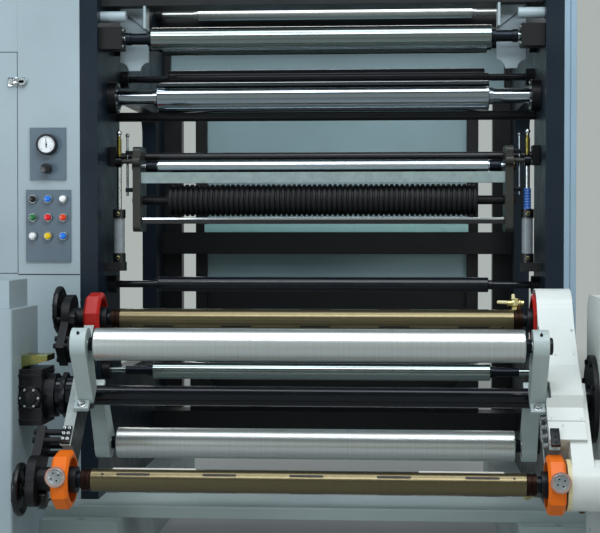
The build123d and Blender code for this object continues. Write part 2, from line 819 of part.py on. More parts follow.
def stand_base(side, inner, width):
    """Floor flange of a stand with four anchor holes."""
    half = stand_depth / 2 + stand_flange_reach
    flange = side_block(side, inner, inner + width, turret_y - half, front - foot_toe, 0, stand_flange)
    for end in sides:
        for across in sides:
            x = side * (inner + width / 2 + across * (width / 2 - stand_flange_reach))
            y = turret_y + end * (half - stand_flange_reach / 2)
            flange -= Pos(x, y, 0) * Cylinder(stand_anchor_hole / 2, 4 * stand_flange)
    return flange


def left_stand():
    half = stand_depth / 2
    stand = side_block(-1, left_stand_inner, left_stand_inner + left_stand_width, turret_y - half,
                       turret_y + half, stand_flange, left_stand_height)
    stand = fillet(stand.edges().filter_by(Axis.Z), stand_corner)
    box_x = left_stand_inner + left_stand_width / 2
    box_half = stand_box_depth / 2
    stand += side_block(-1, box_x - stand_box_width / 2, box_x + stand_box_width / 2,
                        turret_y - box_half, turret_y + box_half, left_stand_height,
                        left_stand_height + stand_box_height)
    return [stand, stand_base(-1, left_stand_inner, left_stand_width)]


def right_stand():
    half = stand_depth / 2
    outline = Pos(turret_y, (right_stand_height + stand_flange) / 2) * Rectangle(
        stand_depth, right_stand_height - stand_flange)
    stand = plate_x(outline, 1, right_stand_inner, right_stand_width)
    top_edges = stand.edges().filter_by(Axis.X).group_by(Axis.Z)[-1]
    stand = fillet(top_edges, right_stand_round)
    bore = side_rod(1, trunnion_radius + running_gap, right_stand_inner - 1,
                    right_stand_inner + trunnion_length + 1, turret_y, turret_height)
    return [stand - bore, stand_base(1, right_stand_inner, right_stand_width)]


def bearing_flange():
    ring = side_rod(1, bearing_flange_radius, right_stand_inner - bearing_flange_width,
                    right_stand_inner, turret_y, turret_height)
    return ring - side_rod(1, trunnion_radius + running_gap,
                           right_stand_inner - 2 * bearing_flange_width, right_stand_inner + 1,
                           turret_y, turret_height)


def turret_gearbox():
    """Ribbed worm gearbox on the left stand, round the turret's trunnion."""
    nose_face = arm_outer + hub_boss_width + running_gap
    inner = nose_face + gearbox_nose_width
    half_y = gearbox_depth / 2
    half_z = gearbox_height / 2
    box = side_block(-1, inner, left_stand_inner, turret_y - half_y, turret_y + half_y,
                     turret_height - half_z, turret_height + half_z)
    box += side_rod(-1, gearbox_nose, nose_face, inner, turret_y, turret_height)
    pitch = gearbox_height / gearbox_ribs
    for index in range(gearbox_ribs):
        z = turret_height - half_z + (index + 0.5) * pitch
        box += side_block(-1, inner, left_stand_inner, turret_y - half_y - gearbox_rib_rise,
                          turret_y + half_y + gearbox_rib_rise, z - gearbox_rib_width / 2,
                          z + gearbox_rib_width / 2)
    return box - side_rod(-1, trunnion_radius + running_gap, nose_face - 1, left_stand_inner + 1,
                          turret_y, turret_height)


def gearbox_bracket():
    """Bent sheet bracket over the gearbox, fixed to the left stand."""
    top = turret_height + gearbox_height / 2 + bracket_sheet + bracket_lip
    half = bracket_width / 2
    shelf = side_block(-1, left_stand_inner - bracket_reach, left_stand_inner, turret_y - half,
                       turret_y + half, top - bracket_sheet, top)
    lip = side_block(-1, left_stand_inner - bracket_sheet, left_stand_inner, turret_y - half,
                     turret_y + half, top - bracket_lip, top)
    drop = side_block(-1, left_stand_inner - bracket_reach, left_stand_inner - bracket_reach
                      + bracket_sheet, turret_y - half, turret_y + half,
                      top - bracket_lip / 2, top)
    return shelf + lip + drop


def control_column():
    return side_block(-1, wall_outer, column_outer, front, front + cabinet_depth, base_top,
                      frame_height)


def hinge_axis(z):
    """A point on the vertical axis that the cabinet door turns about."""
    return Pos(-(cabinet_outer - door_hinge_radius), front + door_hinge_radius, z)


def electrical_cabinet():
    """Sheet cabinet outside the column, open where the door stands."""
    shell = side_block(-1, column_outer, cabinet_outer, front, front + cabinet_depth, foot_height,
                       frame_height)
    inside = side_block(-1, column_outer + cabinet_wall, cabinet_outer - cabinet_wall,
                        front - 1, front + cabinet_depth - cabinet_wall, door_bottom + cabinet_wall,
                        door_top - cabinet_wall)
    seat = side_block(-1, column_outer - 1, cabinet_outer + 1, front - 1, front + door_thickness
                      + door_gap, door_bottom, door_top)
    shell = shell - inside - seat
    for z in (door_bottom, door_top):
        shell += hinge_axis(z) * Cylinder(door_pin_radius, 2 * door_pin_length)
    return shell


def cabinet_plinth():
    inner = foot_centre + foot_width / 2 + door_gap
    return side_block(-1, inner, cabinet_outer, front, front + cabinet_depth, 0, foot_height)


def cabinet_door():
    door = side_block(-1, column_outer + door_gap, cabinet_outer - door_hinge_radius, front,
                      front + door_thickness, door_bottom + door_gap, door_top - door_gap)
    height = door_top - door_bottom - 2 * door_gap
    door += hinge_axis((door_top + door_bottom) / 2) * Cylinder(door_hinge_radius, height)
    for z in (door_bottom, door_top):
        door -= hinge_axis(z) * Cylinder(door_pin_radius + running_gap,
                                         2 * (door_pin_length + running_gap))
    return door


def door_latch():
    top = door_top - latch_drop
    half = latch_width / 2
    lever = side_block(-1, column_outer - half, column_outer + half, front - latch_thickness,
                       front - latch_base, top - latch_height, top)
    lever = fillet(lever.edges().filter_by(Axis.Y), latch_thickness / 2)
    base = side_block(-1, column_outer + door_gap, column_outer + half - latch_thickness,
                      front - latch_base, front, top - latch_height, top)
    return lever + base


def instrument_plates():
    gauge = side_block(-1, gauge_across - gauge_plate_width / 2, gauge_across + gauge_plate_width / 2,
                       front - instrument_plate, front, gauge_plate_centre - gauge_plate_height / 2,
                       gauge_plate_centre + gauge_plate_height / 2)
    buttons = side_block(-1, button_across - button_plate_width / 2,
                         button_across + button_plate_width / 2, front - instrument_plate, front,
                         button_plate_centre - button_plate_height / 2,
                         button_plate_centre + button_plate_height / 2)
    return [gauge, buttons]


def stub(radius, depth, across, height):
    """A round knob, dial or button that stands out of an instrument plate."""
    face = front - instrument_plate
    return Pos(-across, face - depth / 2, height) * Rot(90, 0, 0) * Cylinder(radius, depth)


def pressure_gauge():
    return [stub(gauge_radius, gauge_depth, gauge_across, gauge_centre),
            stub(regulator_radius, regulator_depth, gauge_across, regulator_centre)]


def push_buttons():
    top_row = button_plate_centre + button_plate_height / 2 - button_pitch_z / 2
    buttons = []
    for row in range(3):
        for column in (-1, 0, 1):
            buttons.append(stub(button_radius, button_depth, button_across + column * button_pitch_x,
                                top_row - row * button_pitch_z))
    return buttons


def save(name, pieces):
    """Writes one named sub-part, whose pieces stay separate solids."""
    if not isinstance(pieces, list):
        pieces = [pieces]
    solids = [solid for piece in pieces for solid in piece.solids()]
    export_step(Compound(children=solids) if len(solids) > 1 else solids[0], f"parts/{name}.step")


parts = {
    "left_wallboard": wallboard(-1),
    "right_wallboard": wallboard(1),
    "feet": [foot(side) for side in sides],
    "base_plate": base_plate(),
    "front_top_beam": front_top_beam(),
    "rear_top_beam": rear_top_beam(),
    "rear_low_beam": rear_low_beam(),
    "beam_hangers": [beam_hanger(side) for side in sides],
    "top_spacers": [top_spacer(side) for side in sides],
    "tie_rod": rod_x(tie_rod_radius, -wall_inner, wall_inner, front + tie_rod_back,
                     frame_height - tie_rod_drop),
    "rear_posts": [post for side in sides for post in rear_posts(side)],
    "rear_panel": rear_panel(),
    "rear_guard": rear_sheet(panel_half, base_top, panel_bottom),
    "rear_cross_bar": rear_cross_bar(),
    "edge_duct": edge_duct(),
    "roller_bearings": roller_bearings(),
    "chrome_roller": frame_roller(chrome_radius, chrome_shaft, chrome_back, chrome_height),
    "upper_roller": frame_roller(upper_radius, upper_shaft, upper_back, upper_height),
    "press_arm_plates": [press_arm_plate(side) for side in sides],
    "press_arm_bars": press_arm_bars(),
    "press_arm_bearings": [pivot_bearing(side) for side in sides],
    "press_steel_roller": arm_roller(press_alu_radius, press_alu_shaft, roller_face, press_alu_y,
                                     press_alu_height),
    "press_rubber_roller": arm_roller(press_rubber_radius, press_rubber_shaft, press_rubber_face,
                                      press_rubber_y, press_rubber_height),
    "air_cylinders": [cylinder_barrel(side) for side in sides],
    "left_cylinder_rod": cylinder_rod(-1),
    "right_cylinder_rod": cylinder_rod(1),
    "turret_shaft": turret_shaft(),
    "turret_arms": [turret_arm(side) for side in sides],
    "guide_arms": guide_arms(),
    "chuck_housings": chuck_housings(),
    "turret_gear_cover": turret_gear_cover(),
    "left_stand": left_stand(),
    "right_stand": right_stand(),
    "bearing_flange": bearing_flange(),
    "turret_gearbox": turret_gearbox(),
    "gearbox_bracket": gearbox_bracket(),
    "control_column": control_column(),
    "electrical_cabinet": electrical_cabinet(),
    "cabinet_plinth": cabinet_plinth(),
    "cabinet_door": cabinet_door(),
    "door_latch": door_latch(),
    "instrument_plates": instrument_plates(),
    "pressure_gauge": pressure_gauge(),
    "push_buttons": push_buttons(),
}

for name, (radius, set_back, height) in idlers.items():
    parts[name] = frame_roller(radius, idler_shaft, set_back, height)

front_station, rear_station = both_stations(air_shaft())
parts["front_air_shaft"] = front_station
parts["rear_air_shaft"] = rear_station
rear_guide, front_guide = both_stations(guide_roller())
parts["front_guide_roller"] = front_guide
parts["rear_guide_roller"] = rear_guide
chucks = [both_stations(safety_chuck(side)) for side in sides]
chucks += [both_stations(chuck_axle(side)) for side in sides]
parts["front_chucks"] = [front_piece for front_piece, rear_piece in chucks]
parts["rear_chucks"] = [rear_piece for front_piece, rear_piece in chucks]
sockets = [both_stations(chuck_socket(side)) for side in sides]
parts["front_chuck_sockets"] = [front_piece for front_piece, rear_piece in sockets]
parts["rear_chuck_sockets"] = [rear_piece for front_piece, rear_piece in sockets]
front_wheel, rear_wheel = both_stations(handwheel())
parts["front_handwheel"] = front_wheel
parts["rear_handwheel"] = rear_wheel

for name, pieces in parts.items():
    save(name, pieces)
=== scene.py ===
from functools import partial
from math import atan2, cos, hypot, pi, radians, sin

import bmesh
import bpy
from bpy.props import FloatProperty, FloatVectorProperty, IntProperty, PointerProperty
from mathutils import Matrix, Vector

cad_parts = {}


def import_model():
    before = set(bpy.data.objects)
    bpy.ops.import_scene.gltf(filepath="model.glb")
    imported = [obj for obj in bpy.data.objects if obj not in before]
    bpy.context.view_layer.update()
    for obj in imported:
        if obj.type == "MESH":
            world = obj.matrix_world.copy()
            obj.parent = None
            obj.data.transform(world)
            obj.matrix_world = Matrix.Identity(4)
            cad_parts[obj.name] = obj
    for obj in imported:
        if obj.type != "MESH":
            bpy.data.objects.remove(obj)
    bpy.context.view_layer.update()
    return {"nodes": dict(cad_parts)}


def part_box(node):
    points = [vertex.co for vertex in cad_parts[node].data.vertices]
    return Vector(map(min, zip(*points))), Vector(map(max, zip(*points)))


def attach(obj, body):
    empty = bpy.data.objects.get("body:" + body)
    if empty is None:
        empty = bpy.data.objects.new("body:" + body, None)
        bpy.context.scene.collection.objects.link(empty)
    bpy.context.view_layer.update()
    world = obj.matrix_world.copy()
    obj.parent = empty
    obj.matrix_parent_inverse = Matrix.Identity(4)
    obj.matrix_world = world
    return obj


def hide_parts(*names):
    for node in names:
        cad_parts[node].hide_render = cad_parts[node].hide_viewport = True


bl_info = {
    "name": "Gravure Turret Winder",
    "version": (1, 0, 0),
    "blender": (4, 5, 0),
    "location": "View3D > Sidebar > Winder",
    "description": "Dresses the turret winding unit of a gravure press",
    "category": "Object",
}

MM = 0.001  # metres in a millimetre
METRE = 1000  # millimetres in a metre
SIDES = (-1, 1)  # left and right of the machine, or the two halves of the turret
CORNERS = ((-1, -1), (-1, 1), (1, -1), (1, 1))
# Places in the row frame and sizes, in millimetres
COLUMN_FRONT = -700
PLATE_FRONT = -706  # front of the gauge plate and of the button plate
DIAL_X = -882
BUTTONS_X, BUTTONS_TOP, BUTTON_PITCH = -881, 1218, (50, 60)
WALL_OUTER = 778  # outer face of a wallboard
PANEL_BACK = 673  # back of the rear panel and of the guard under it
FRAME_FACE = 552  # half the face of a roller in the frame
TURRET_FACE = 600  # half the face of a roller or shaft in the turret
ARM_INNER = 664  # inner face of a turret arm
PRESS_ARM_OUTER = 630  # outer face of a press arm plate
HOUSING_FACE = -773  # outer face of the chuck housings' plates
KNOB_SHAFT_END = -781
KNOB_BACK = -727.6  # inner face of the star knobs
WHEEL_BACK = -787  # inner face of the handwheels
SPINDLE_BACK = -753  # where the handwheels' spindles start
GEARBOX_X = -809
CYLINDER_X = 675
PRESS_ROD_X, PRESS_ROD_Y = 651, -545
AIR_ORBIT = 300  # from the turret's axis to an air shaft
GUIDE_ORBIT = 230  # and to a guide roller
SHAFT_RADIUS = 32
LEAF_PITCH = 240
TILT = radians(45)  # lean of the line through both air shafts
SMOOTH_BELOW = radians(32)  # edges that turn less look smooth
CAMERA_PLACE = (0.2357, -5.2065, 1.100)  # in metres
CAMERA_TURN = (90 - 1.27, 0, 3.78)  # in degrees

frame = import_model()


# Sizes and colours

class WinderRollers(bpy.types.PropertyGroup):
    """Sizes of the rollers and shafts"""
    segments: IntProperty(name="Segments", description="Facets round a turned piece", default=96, min=24)
    rib_pitch: FloatProperty(name="Rib pitch", description="Spacing of the rubber roller's ribs, in mm",
                             default=17.0)
    rib_depth: FloatProperty(name="Rib depth", description="Depth between the ribs, in mm", default=6.0)
    slot_length: FloatProperty(name="Slot length", description="Length of an expanding leaf, in mm",
                               default=94.0)
    slot_width: FloatProperty(name="Slot width", description="Width of an expanding leaf, in mm", default=7.5)
    slot_rows: IntProperty(name="Slot rows", description="Rows of leaves round an air shaft", default=3)


class WinderColours(bpy.types.PropertyGroup):
    """Paint colours that a user would change"""
    frame_paint: FloatVectorProperty(name="Frame", description="Wallboards, as sRGB", subtype="COLOR",
                                     default=(0.075, 0.12, 0.16))
    panel_paint: FloatVectorProperty(name="Panels", description="Column, cabinet and stands, as sRGB",
                                     subtype="COLOR", default=(0.585, 0.65, 0.67))
    cover_paint: FloatVectorProperty(name="Covers", description="Gear cover and right stand, as sRGB",
                                     subtype="COLOR", default=(0.81, 0.84, 0.82))
    chuck_paint: FloatVectorProperty(name="Chucks", description="Safety chucks, as sRGB", subtype="COLOR",
                                     default=(0.90, 0.43, 0.07))


class WinderStage(bpy.types.PropertyGroup):
    """Camera and lamps"""
    lens: FloatProperty(name="Lens", description="Focal length, in mm", default=84.26)
    key_power: FloatProperty(name="Key light", description="Power of the overhead light, in W", default=98.0)
    room_light: FloatProperty(name="Room light", description="Strength of the room's soft light", default=0.34)


# Materials

def linear(colour, factor=1.0):
    """An sRGB hex code, or the name of a colour property, as linear RGBA, lighter or darker by a factor."""
    if colour.startswith("#"):
        values = [int(colour[i:i + 2], 16) / 255 for i in (1, 3, 5)]
    else:
        values = [round(v * 255) / 255 for v in getattr(bpy.context.scene.winder_colours, colour)]
    values = [v / 12.92 if v <= 0.04045 else ((v + 0.055) / 1.055) ** 2.4 for v in values]
    return (*[min(1.0, v * factor) for v in values], 1.0)


def add_node(tree, kind, links=None, **settings):
    """Adds a shader node with its settings; links gives inputs as values, or as nodes or sockets to join."""
    node = tree.nodes.new("ShaderNode" + kind)
    for key, value in settings.items():
        setattr(node, key, value)
    for key, value in (links or {}).items():
        if isinstance(value, bpy.types.Node):
            value = next(socket for socket in value.outputs if socket.enabled)
        if isinstance(value, bpy.types.NodeSocket):
            tree.links.new(value, node.inputs[key])
        else:
            node.inputs[key].default_value = value
    return node


def start_material(name):
    """An empty material, its tree and its Object coordinates."""
    material = bpy.data.materials.new(name)
    material.use_nodes = True
    material.node_tree.nodes.clear()
    return material, material.node_tree, add_node(material.node_tree, "TexCoord").outputs["Object"]


def blend(tree, mask, low, high, first, second):
    """A colour that goes from the first to the second as a mask goes from low to high."""
    share = add_node(tree, "MapRange", {0: mask, 1: low, 2: high})
    return add_node(tree, "Mix", {0: share, 6: first, 7: second}, data_type="RGBA")


def bumps(tree, height, strength, depth_mm, rounding_mm):
    """A bumpy skin whose edges catch the light as if they were rounded."""
    return add_node(tree, "Bump", {
        "Height": height, "Strength": strength, "Distance": depth_mm * MM,
        "Normal": add_node(tree, "Bevel", {"Radius": rounding_mm * MM}, samples=4)})


def end_material(material, mask, low, high, smooth, rough, inputs):
    """Adds the shader, smooth where a mask is low and rough where it is high, and the output."""
    tree = material.node_tree
    dull = add_node(tree, "MapRange", {0: mask, 1: low, 2: high, 3: smooth, 4: rough})
    shader = add_node(tree, "BsdfPrincipled", {"Roughness": dull, **inputs})
    add_node(tree, "OutputMaterial", {"Surface": shader})
    return material


def sheet_paint(colour, roughness, worn="#8d9190", peel=0.02, edge_mm=2.5, gloss=0.5, *, name):
    """Sprayed enamel on steel: soft orange peel, slight change of tone, wear and dirt at the edges."""
    material, tree, coords = start_material(name)
    cloud = add_node(tree, "TexNoise", {"Vector": coords, "Scale": METRE / 420, "Detail": 4})
    paint = blend(tree, cloud, 0.35, 0.65, linear(colour, 0.93), linear(colour, 1.06))
    rounded = add_node(tree, "Bevel", {"Radius": edge_mm * MM}, samples=4)
    flat = add_node(tree, "NewGeometry").outputs["True Normal"]
    turn = add_node(tree, "VectorMath", {0: rounded, 1: flat}, operation="DOT_PRODUCT")
    edge = add_node(tree, "MapRange", {0: turn, 1: 0.80, 2: 0.98, 3: 1, 4: 0})
    chips = add_node(tree, "TexNoise", {"Vector": coords, "Scale": METRE / 14, "Detail": 5, "Roughness": 0.65})
    chips = add_node(tree, "MapRange", {0: chips, 1: 0.52, 2: 0.60, 4: 0.5})
    wear = add_node(tree, "Math", {0: edge, 1: chips}, operation="MULTIPLY")
    smear = add_node(tree, "TexNoise", {"Vector": coords, "Scale": METRE / 90, "Detail": 4})
    grain = add_node(tree, "TexNoise", {"Vector": coords, "Scale": METRE / 5})
    bump = add_node(tree, "Bump", {"Height": grain, "Strength": 0.35, "Distance": peel * 10 * MM,
                                   "Normal": rounded})
    return end_material(material, smear, 0.3, 0.7, roughness - 0.06, roughness + 0.08, {
        "IOR": 1.5, "Specular IOR Level": gloss, "Normal": bump,
        "Base Color": blend(tree, wear, 0, 1, paint, linear(worn))})


def turned_metal(colour, roughness, ring_mm, contrast, dull, *, name):
    """A metal turned or ground in a lathe: fine rings round the axis and a slow change of polish."""
    material, tree, coords = start_material(name)
    across = add_node(tree, "SeparateXYZ", {0: coords})
    rings, haze = [add_node(tree, "TexNoise", {"W": across, "Scale": METRE / size}, noise_dimensions="1D")
                   for size in (ring_mm, 350)]
    both = add_node(tree, "Math", {0: rings, 1: haze}, operation="ADD")
    return end_material(material, both, 0.7, 1.3, max(0.02, roughness - dull / 2), roughness + dull, {
        "Metallic": 1,
        "Base Color": blend(tree, rings, 0.3, 0.7, linear(colour, 1 - contrast), linear(colour, 1 + contrast))})


def cast_iron(colour, roughness, grain_mm=6.0, depth=0.25, *, name):
    """Sand-cast iron under black paint: a coarse skin that breaks up the light."""
    material, tree, coords = start_material(name)
    skin = add_node(tree, "TexNoise", {"Vector": coords, "Scale": METRE / grain_mm, "Detail": 5,
                                       "Roughness": 0.6})
    cloud = add_node(tree, "TexNoise", {"Vector": coords, "Scale": METRE / 80, "Detail": 3})
    return end_material(material, skin, 0.3, 0.7, roughness - 0.1, roughness + 0.12, {
        "IOR": 1.5, "Specular IOR Level": 0.3, "Normal": bumps(tree, skin, 0.6, depth, 2.0),
        "Base Color": blend(tree, cloud, 0.35, 0.65, linear(colour, 0.8), linear(colour, 1.35))})


def moulded(colour, roughness, grain_mm=3.0, depth=0.03, ior=1.46, gloss=0.5, *, name):
    """Moulded plastic or rubber: one colour right through, with a fine even grain."""
    material, tree, coords = start_material(name)
    grain = add_node(tree, "TexNoise", {"Vector": coords, "Scale": METRE / grain_mm})
    cloud = add_node(tree, "TexNoise", {"Vector": coords, "Scale": METRE / 60, "Detail": 3})
    return end_material(material, cloud, 0.35, 0.65, roughness - 0.05, roughness + 0.08, {
        "IOR": ior, "Specular IOR Level": gloss,
        "Normal": add_node(tree, "Bump", {"Height": grain, "Strength": 0.5, "Distance": depth * MM}),
        "Base Color": blend(tree, cloud, 0.35, 0.65, linear(colour, 0.88), linear(colour, 1.12))})


def plated(colour, second, roughness, patch_mm=18.0, *, name):
    """Zinc or brass with the mottled sheen of its plating or handling."""
    material, tree, coords = start_material(name)
    mottle = add_node(tree, "TexNoise", {"Vector": coords, "Scale": METRE / patch_mm, "Detail": 4,
                                         "Roughness": 0.6})
    grain = add_node(tree, "TexNoise", {"Vector": coords, "Scale": METRE / 4, "Detail": 3})
    return end_material(material, mottle, 0.3, 0.7, roughness - 0.05, roughness + 0.1, {
        "Metallic": 1, "Normal": bumps(tree, grain, 0.3, 0.05, 1.2),
        "Base Color": blend(tree, mottle, 0.38, 0.62, linear(colour), linear(second))})


def banded_paint(bands, roughness, metallic=0.0, *, name):
    """One part finished in bands up its height: bands are (from this height in mm, sRGB code)."""
    material, tree, coords = start_material(name)
    low, high = bands[0][0], bands[-1][0] + 10
    height = add_node(tree, "SeparateXYZ", {0: coords}).outputs[2]
    height = add_node(tree, "MapRange", {0: height, 1: low * MM, 2: high * MM})
    ramp = add_node(tree, "ValToRGB", {0: height})
    ramp.color_ramp.interpolation = "CONSTANT"
    stops = ramp.color_ramp.elements
    for index, (start, code) in enumerate(bands):
        stop = stops[index] if index < 2 else stops.new(1.0)
        stop.position = (start - low) / (high - low)
        stop.color = linear(code)
    smear = add_node(tree, "TexNoise", {"Vector": coords, "Scale": METRE / 25, "Detail": 4, "Roughness": 0.6})
    dirt = add_node(tree, "MapRange", {0: smear, 1: 0.35, 2: 0.65, 4: 0.3})
    return end_material(material, smear, 0.3, 0.7, roughness - 0.05, roughness + 0.1, {
        "Metallic": metallic, "Normal": bumps(tree, smear, 0.2, 0.08, 1.2),
        "Base Color": add_node(tree, "Mix", {0: dirt, 6: ramp, 7: linear("#9fa3a2")}, data_type="RGBA",
                               blend_type="MULTIPLY")})


def pale_edged_paint(face, edge, *, name):
    """Black enamel on a plate's faces and bright paint round its edge, scuffed."""
    material, tree, coords = start_material(name)
    normal = add_node(tree, "TexCoord").outputs["Normal"]
    size = add_node(tree, "Math", {0: add_node(tree, "SeparateXYZ", {0: normal})}, operation="ABSOLUTE")
    scuffs = add_node(tree, "TexNoise", {"Vector": coords, "Scale": METRE / 30, "Detail": 5, "Roughness": 0.6})
    pale = blend(tree, scuffs, 0.4, 0.6, linear(edge, 0.85), linear(edge, 1.05))
    return end_material(material, scuffs, 0.3, 0.7, 0.3, 0.5, {
        "IOR": 1.5, "Specular IOR Level": 0.35, "Normal": bumps(tree, scuffs, 0.2, 0.1, 1.5),
        "Base Color": blend(tree, size, 0.45, 0.55, pale, linear(face))})


RECIPES = {
    # dark enamel, glossy enough to show the room as a bluish sheen on the wallboards' edges
    "wallboard_enamel": partial(sheet_paint, "frame_paint", 0.34, "#4a555f", gloss=0.22),
    # light enamel with a satin look and a slight orange peel
    "panel_enamel": partial(sheet_paint, "panel_paint", 0.36),
    # white enamel, a little glossier, on the pressed covers
    "cover_enamel": partial(sheet_paint, "cover_paint", 0.32, "#a9aeac"),
    # satin grey-green enamel on the base plate and feet, duller than the column
    "base_enamel": partial(sheet_paint, "#a3b3b2", 0.42),
    # pale enamel on the cast guide arms
    "guide_arm_enamel": partial(sheet_paint, "#a9b8b6", 0.36),
    # orange enamel on cast steel, rubbed where the shaft is dropped in
    "chuck_enamel": partial(sheet_paint, "chuck_paint", 0.4, "#5a3a26", edge_mm=1.5, gloss=0.25),
    # the chucks' enamel, painted darker and redder at the rear station: painted shade and a painted red glow
    "rear_chuck_shaded_enamel": partial(sheet_paint, "#a81f18", 0.36, "#5a2a20", edge_mm=1.5, gloss=0.3),
    # black-green enamel of beams and bars, with little shine
    "beam_enamel": partial(sheet_paint, "#0c1012", 0.42, "#2c3231", gloss=0.35),
    # teal-grey enamel of the sheet panel behind the rollers
    "rear_enamel": partial(sheet_paint, "#8aa6aa", 0.42),
    # glossy pale teal enamel on the strip above the rear cross bar
    "strip_enamel": partial(sheet_paint, "#a5d8d4", 0.3),
    # brown-grey paint of the press arm's plates
    "arm_enamel": partial(sheet_paint, "#2b2c27", 0.42, "#6b6a60", gloss=0.35),
    # mid grey enamel of the instrument plates
    "plate_enamel": partial(sheet_paint, "#52646f", 0.4, "#8d989d", edge_mm=1.0),
    # anodised extrusion with a bluish tone
    "duct_anodised": partial(sheet_paint, "#869fae", 0.36, "#aab3b8"),
    # pale anodised strip let into the top of each air shaft
    "pale_strip": partial(sheet_paint, "#d9d8cc", 0.4),
    # dark polished coat of the black rollers, with a narrow bright line along it
    "dark_coat": partial(sheet_paint, "#0b0f16", 0.2, "#20272e", peel=0.008, gloss=0.35),
    # black enamel with the plate's edge left pale, as the turret arms show
    "arm_edge_enamel": partial(pale_edged_paint, "#0c0f11", "#98a29f"),
    # black pivot bar and knife bar with a grey-green flat bar between them
    "press_bar_enamel": partial(banded_paint, ((1100, "#0c0f11"), (1262, "#869896"), (1322, "#0c0f11")), 0.36),
    # bright barrels between black end caps
    "cylinder_bands": partial(banded_paint, ((900, "#0d0f11"), (1040, "#858e92"), (1157, "#0d0f11")), 0.34),
    # chromed rod, black eye, brass screw and bright ball
    "rod_bands": partial(banded_paint, ((1100, "#b3babd"), (1325, "#26292d"), (1363, "#8c8148"),
                                        (1430, "#cfd4d6")), 0.2, 1.0),
    # rough black castings, dull with small glints
    "black_casting": partial(cast_iron, "#0b0d10", 0.42),
    # finer castings of the bearings, nearly without shine
    "bearing_casting": partial(cast_iron, "#08090b", 0.45, grain_mm=4.0, depth=0.15),
    # hard chromium plate, almost a mirror
    "hard_chrome": partial(turned_metal, "#98a2a9", 0.07, 14, 0.015, 0.01),
    # ground steel, satin along its length
    "ground_steel": partial(turned_metal, "#86918f", 0.15, 10, 0.02, 0.012),
    # turned aluminium with visible tool rings and a broad soft shine
    "turned_aluminium": partial(turned_metal, "#d2d7d4", 0.34, 7, 0.035, 0),
    # lapped steel of the press arm's upper roller, greyer than chrome
    "lapped_steel": partial(turned_metal, "#b9c4cb", 0.2, 12, 0.02, 0.012),
    # turned and polished steel of latch and buttons' collars, and of the bright strip that paints the highlight
    # line along the knife bar's top edge
    "polished_steel": partial(turned_metal, "#c6cccf", 0.18, 3, 0.04, 0.02),
    # bronze anodised aluminium, satin
    "bronze_anodised": partial(turned_metal, "#6f664d", 0.29, 14, 0.02, 0),
    # brown oxide on turned steel collars
    "brown_collar": partial(turned_metal, "#2a1d18", 0.42, 4, 0.08, 0.02),
    # blackened steel of hubs, sleeves and nuts, with a dark metal sheen
    "black_steel": partial(turned_metal, "#24282d", 0.36, 4, 0.06, 0.02),
    # dark bronze bushes, mottled by handling
    "bronze_cap": partial(plated, "#5f4a2f", "#493a28", 0.3, 12),
    # yellow passivated zinc, with greenish patches
    "yellow_zinc": partial(plated, "#b9a85c", "#8fa06a", 0.26),
    # pale brass of the air fittings
    "brass": partial(plated, "#d2c88e", "#b3a86e", 0.3, 10),
    # olive passivated sleeve on the cylinder rods' screws
    "rod_brass": partial(plated, "#8f8440", "#6d6a34", 0.28, 9),
    # bright zinc on bolts and screws
    "bolt_zinc": partial(plated, "#c3c7c8", "#9ea4a6", 0.25, 6),
    # moulded rubber of the ribbed roller, dull with a coarse grain
    "black_rubber": partial(moulded, "#07090b", 0.55, 4, 0.12, 1.5, 0.3),
    # phenolic of the handwheels and knobs, with a deep hard shine
    "black_phenolic": partial(moulded, "#08090b", 0.34, 3, 0.03, 1.6, 0.3),
    # dull brown-black rubber of the expanding leaves
    "leaf_rubber": partial(moulded, "#1c1713", 0.55, 3, 0.05),
    # cream nylon of the hood rings and valve levers
    "cream_plastic": partial(moulded, "#cfc79a", 0.4),
    # smooth black plastic of the air fittings' ends
    "port_black": partial(moulded, "#0f1113", 0.4),
    # satin blue rubber of the boot over a cylinder's rod
    "boot_blue": partial(moulded, "#2f5fa6", 0.4),
    # white printed face under the gauge's glass, quite smooth
    "dial_white": partial(moulded, "#e4e9ea", 0.25, 2, 0),
    # black moulded case, knob and marks of the gauge
    "dial_black": partial(moulded, "#0c0e12", 0.3, 2, 0.01),
    # glossy coloured plastic of the push buttons
    "button_black": partial(moulded, "#0d0e10", 0.25),
    "button_blue": partial(moulded, "#1f6fd0", 0.22),
    "button_white": partial(moulded, "#e6eaea", 0.25),
    "button_green": partial(moulded, "#1d6a3c", 0.25),
    "button_red": partial(moulded, "#d3141d", 0.22),
    "button_orange": partial(moulded, "#d63a12", 0.22),
    "button_yellow": partial(moulded, "#e3c11f", 0.22),
    # dull sealing strip in a joint, dark on the column and grey on the white cover
    "dark_seam": partial(moulded, "#20262a", 0.6),
    "seam_shadow": partial(moulded, "#5f6563", 0.6),
}
made_finishes = {}


def finish(name):
    """The named finish, made once."""
    if name not in made_finishes:
        made_finishes[name] = RECIPES[name](name=name)
    return made_finishes[name]


# Mesh helpers

def world(x, y, z):
    """A point in metres from millimetres."""
    return Vector((x, y, z)) * MM


def axis_of(node):
    """Middle of a CAD node across the machine: y and z in millimetres."""
    low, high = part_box(node)
    return (low.y + high.y) / 2 / MM, (low.z + high.z) / 2 / MM


def open_meshes(count):
    """Empty meshes that are filled side by side."""
    return [bmesh.new() for _ in range(count)]


def around(count, first=0.0):
    """Cosine and sine of evenly spaced angles."""
    turns = [first + number * 2 * pi / count for number in range(count)]
    return [(cos(turn), sin(turn)) for turn in turns]


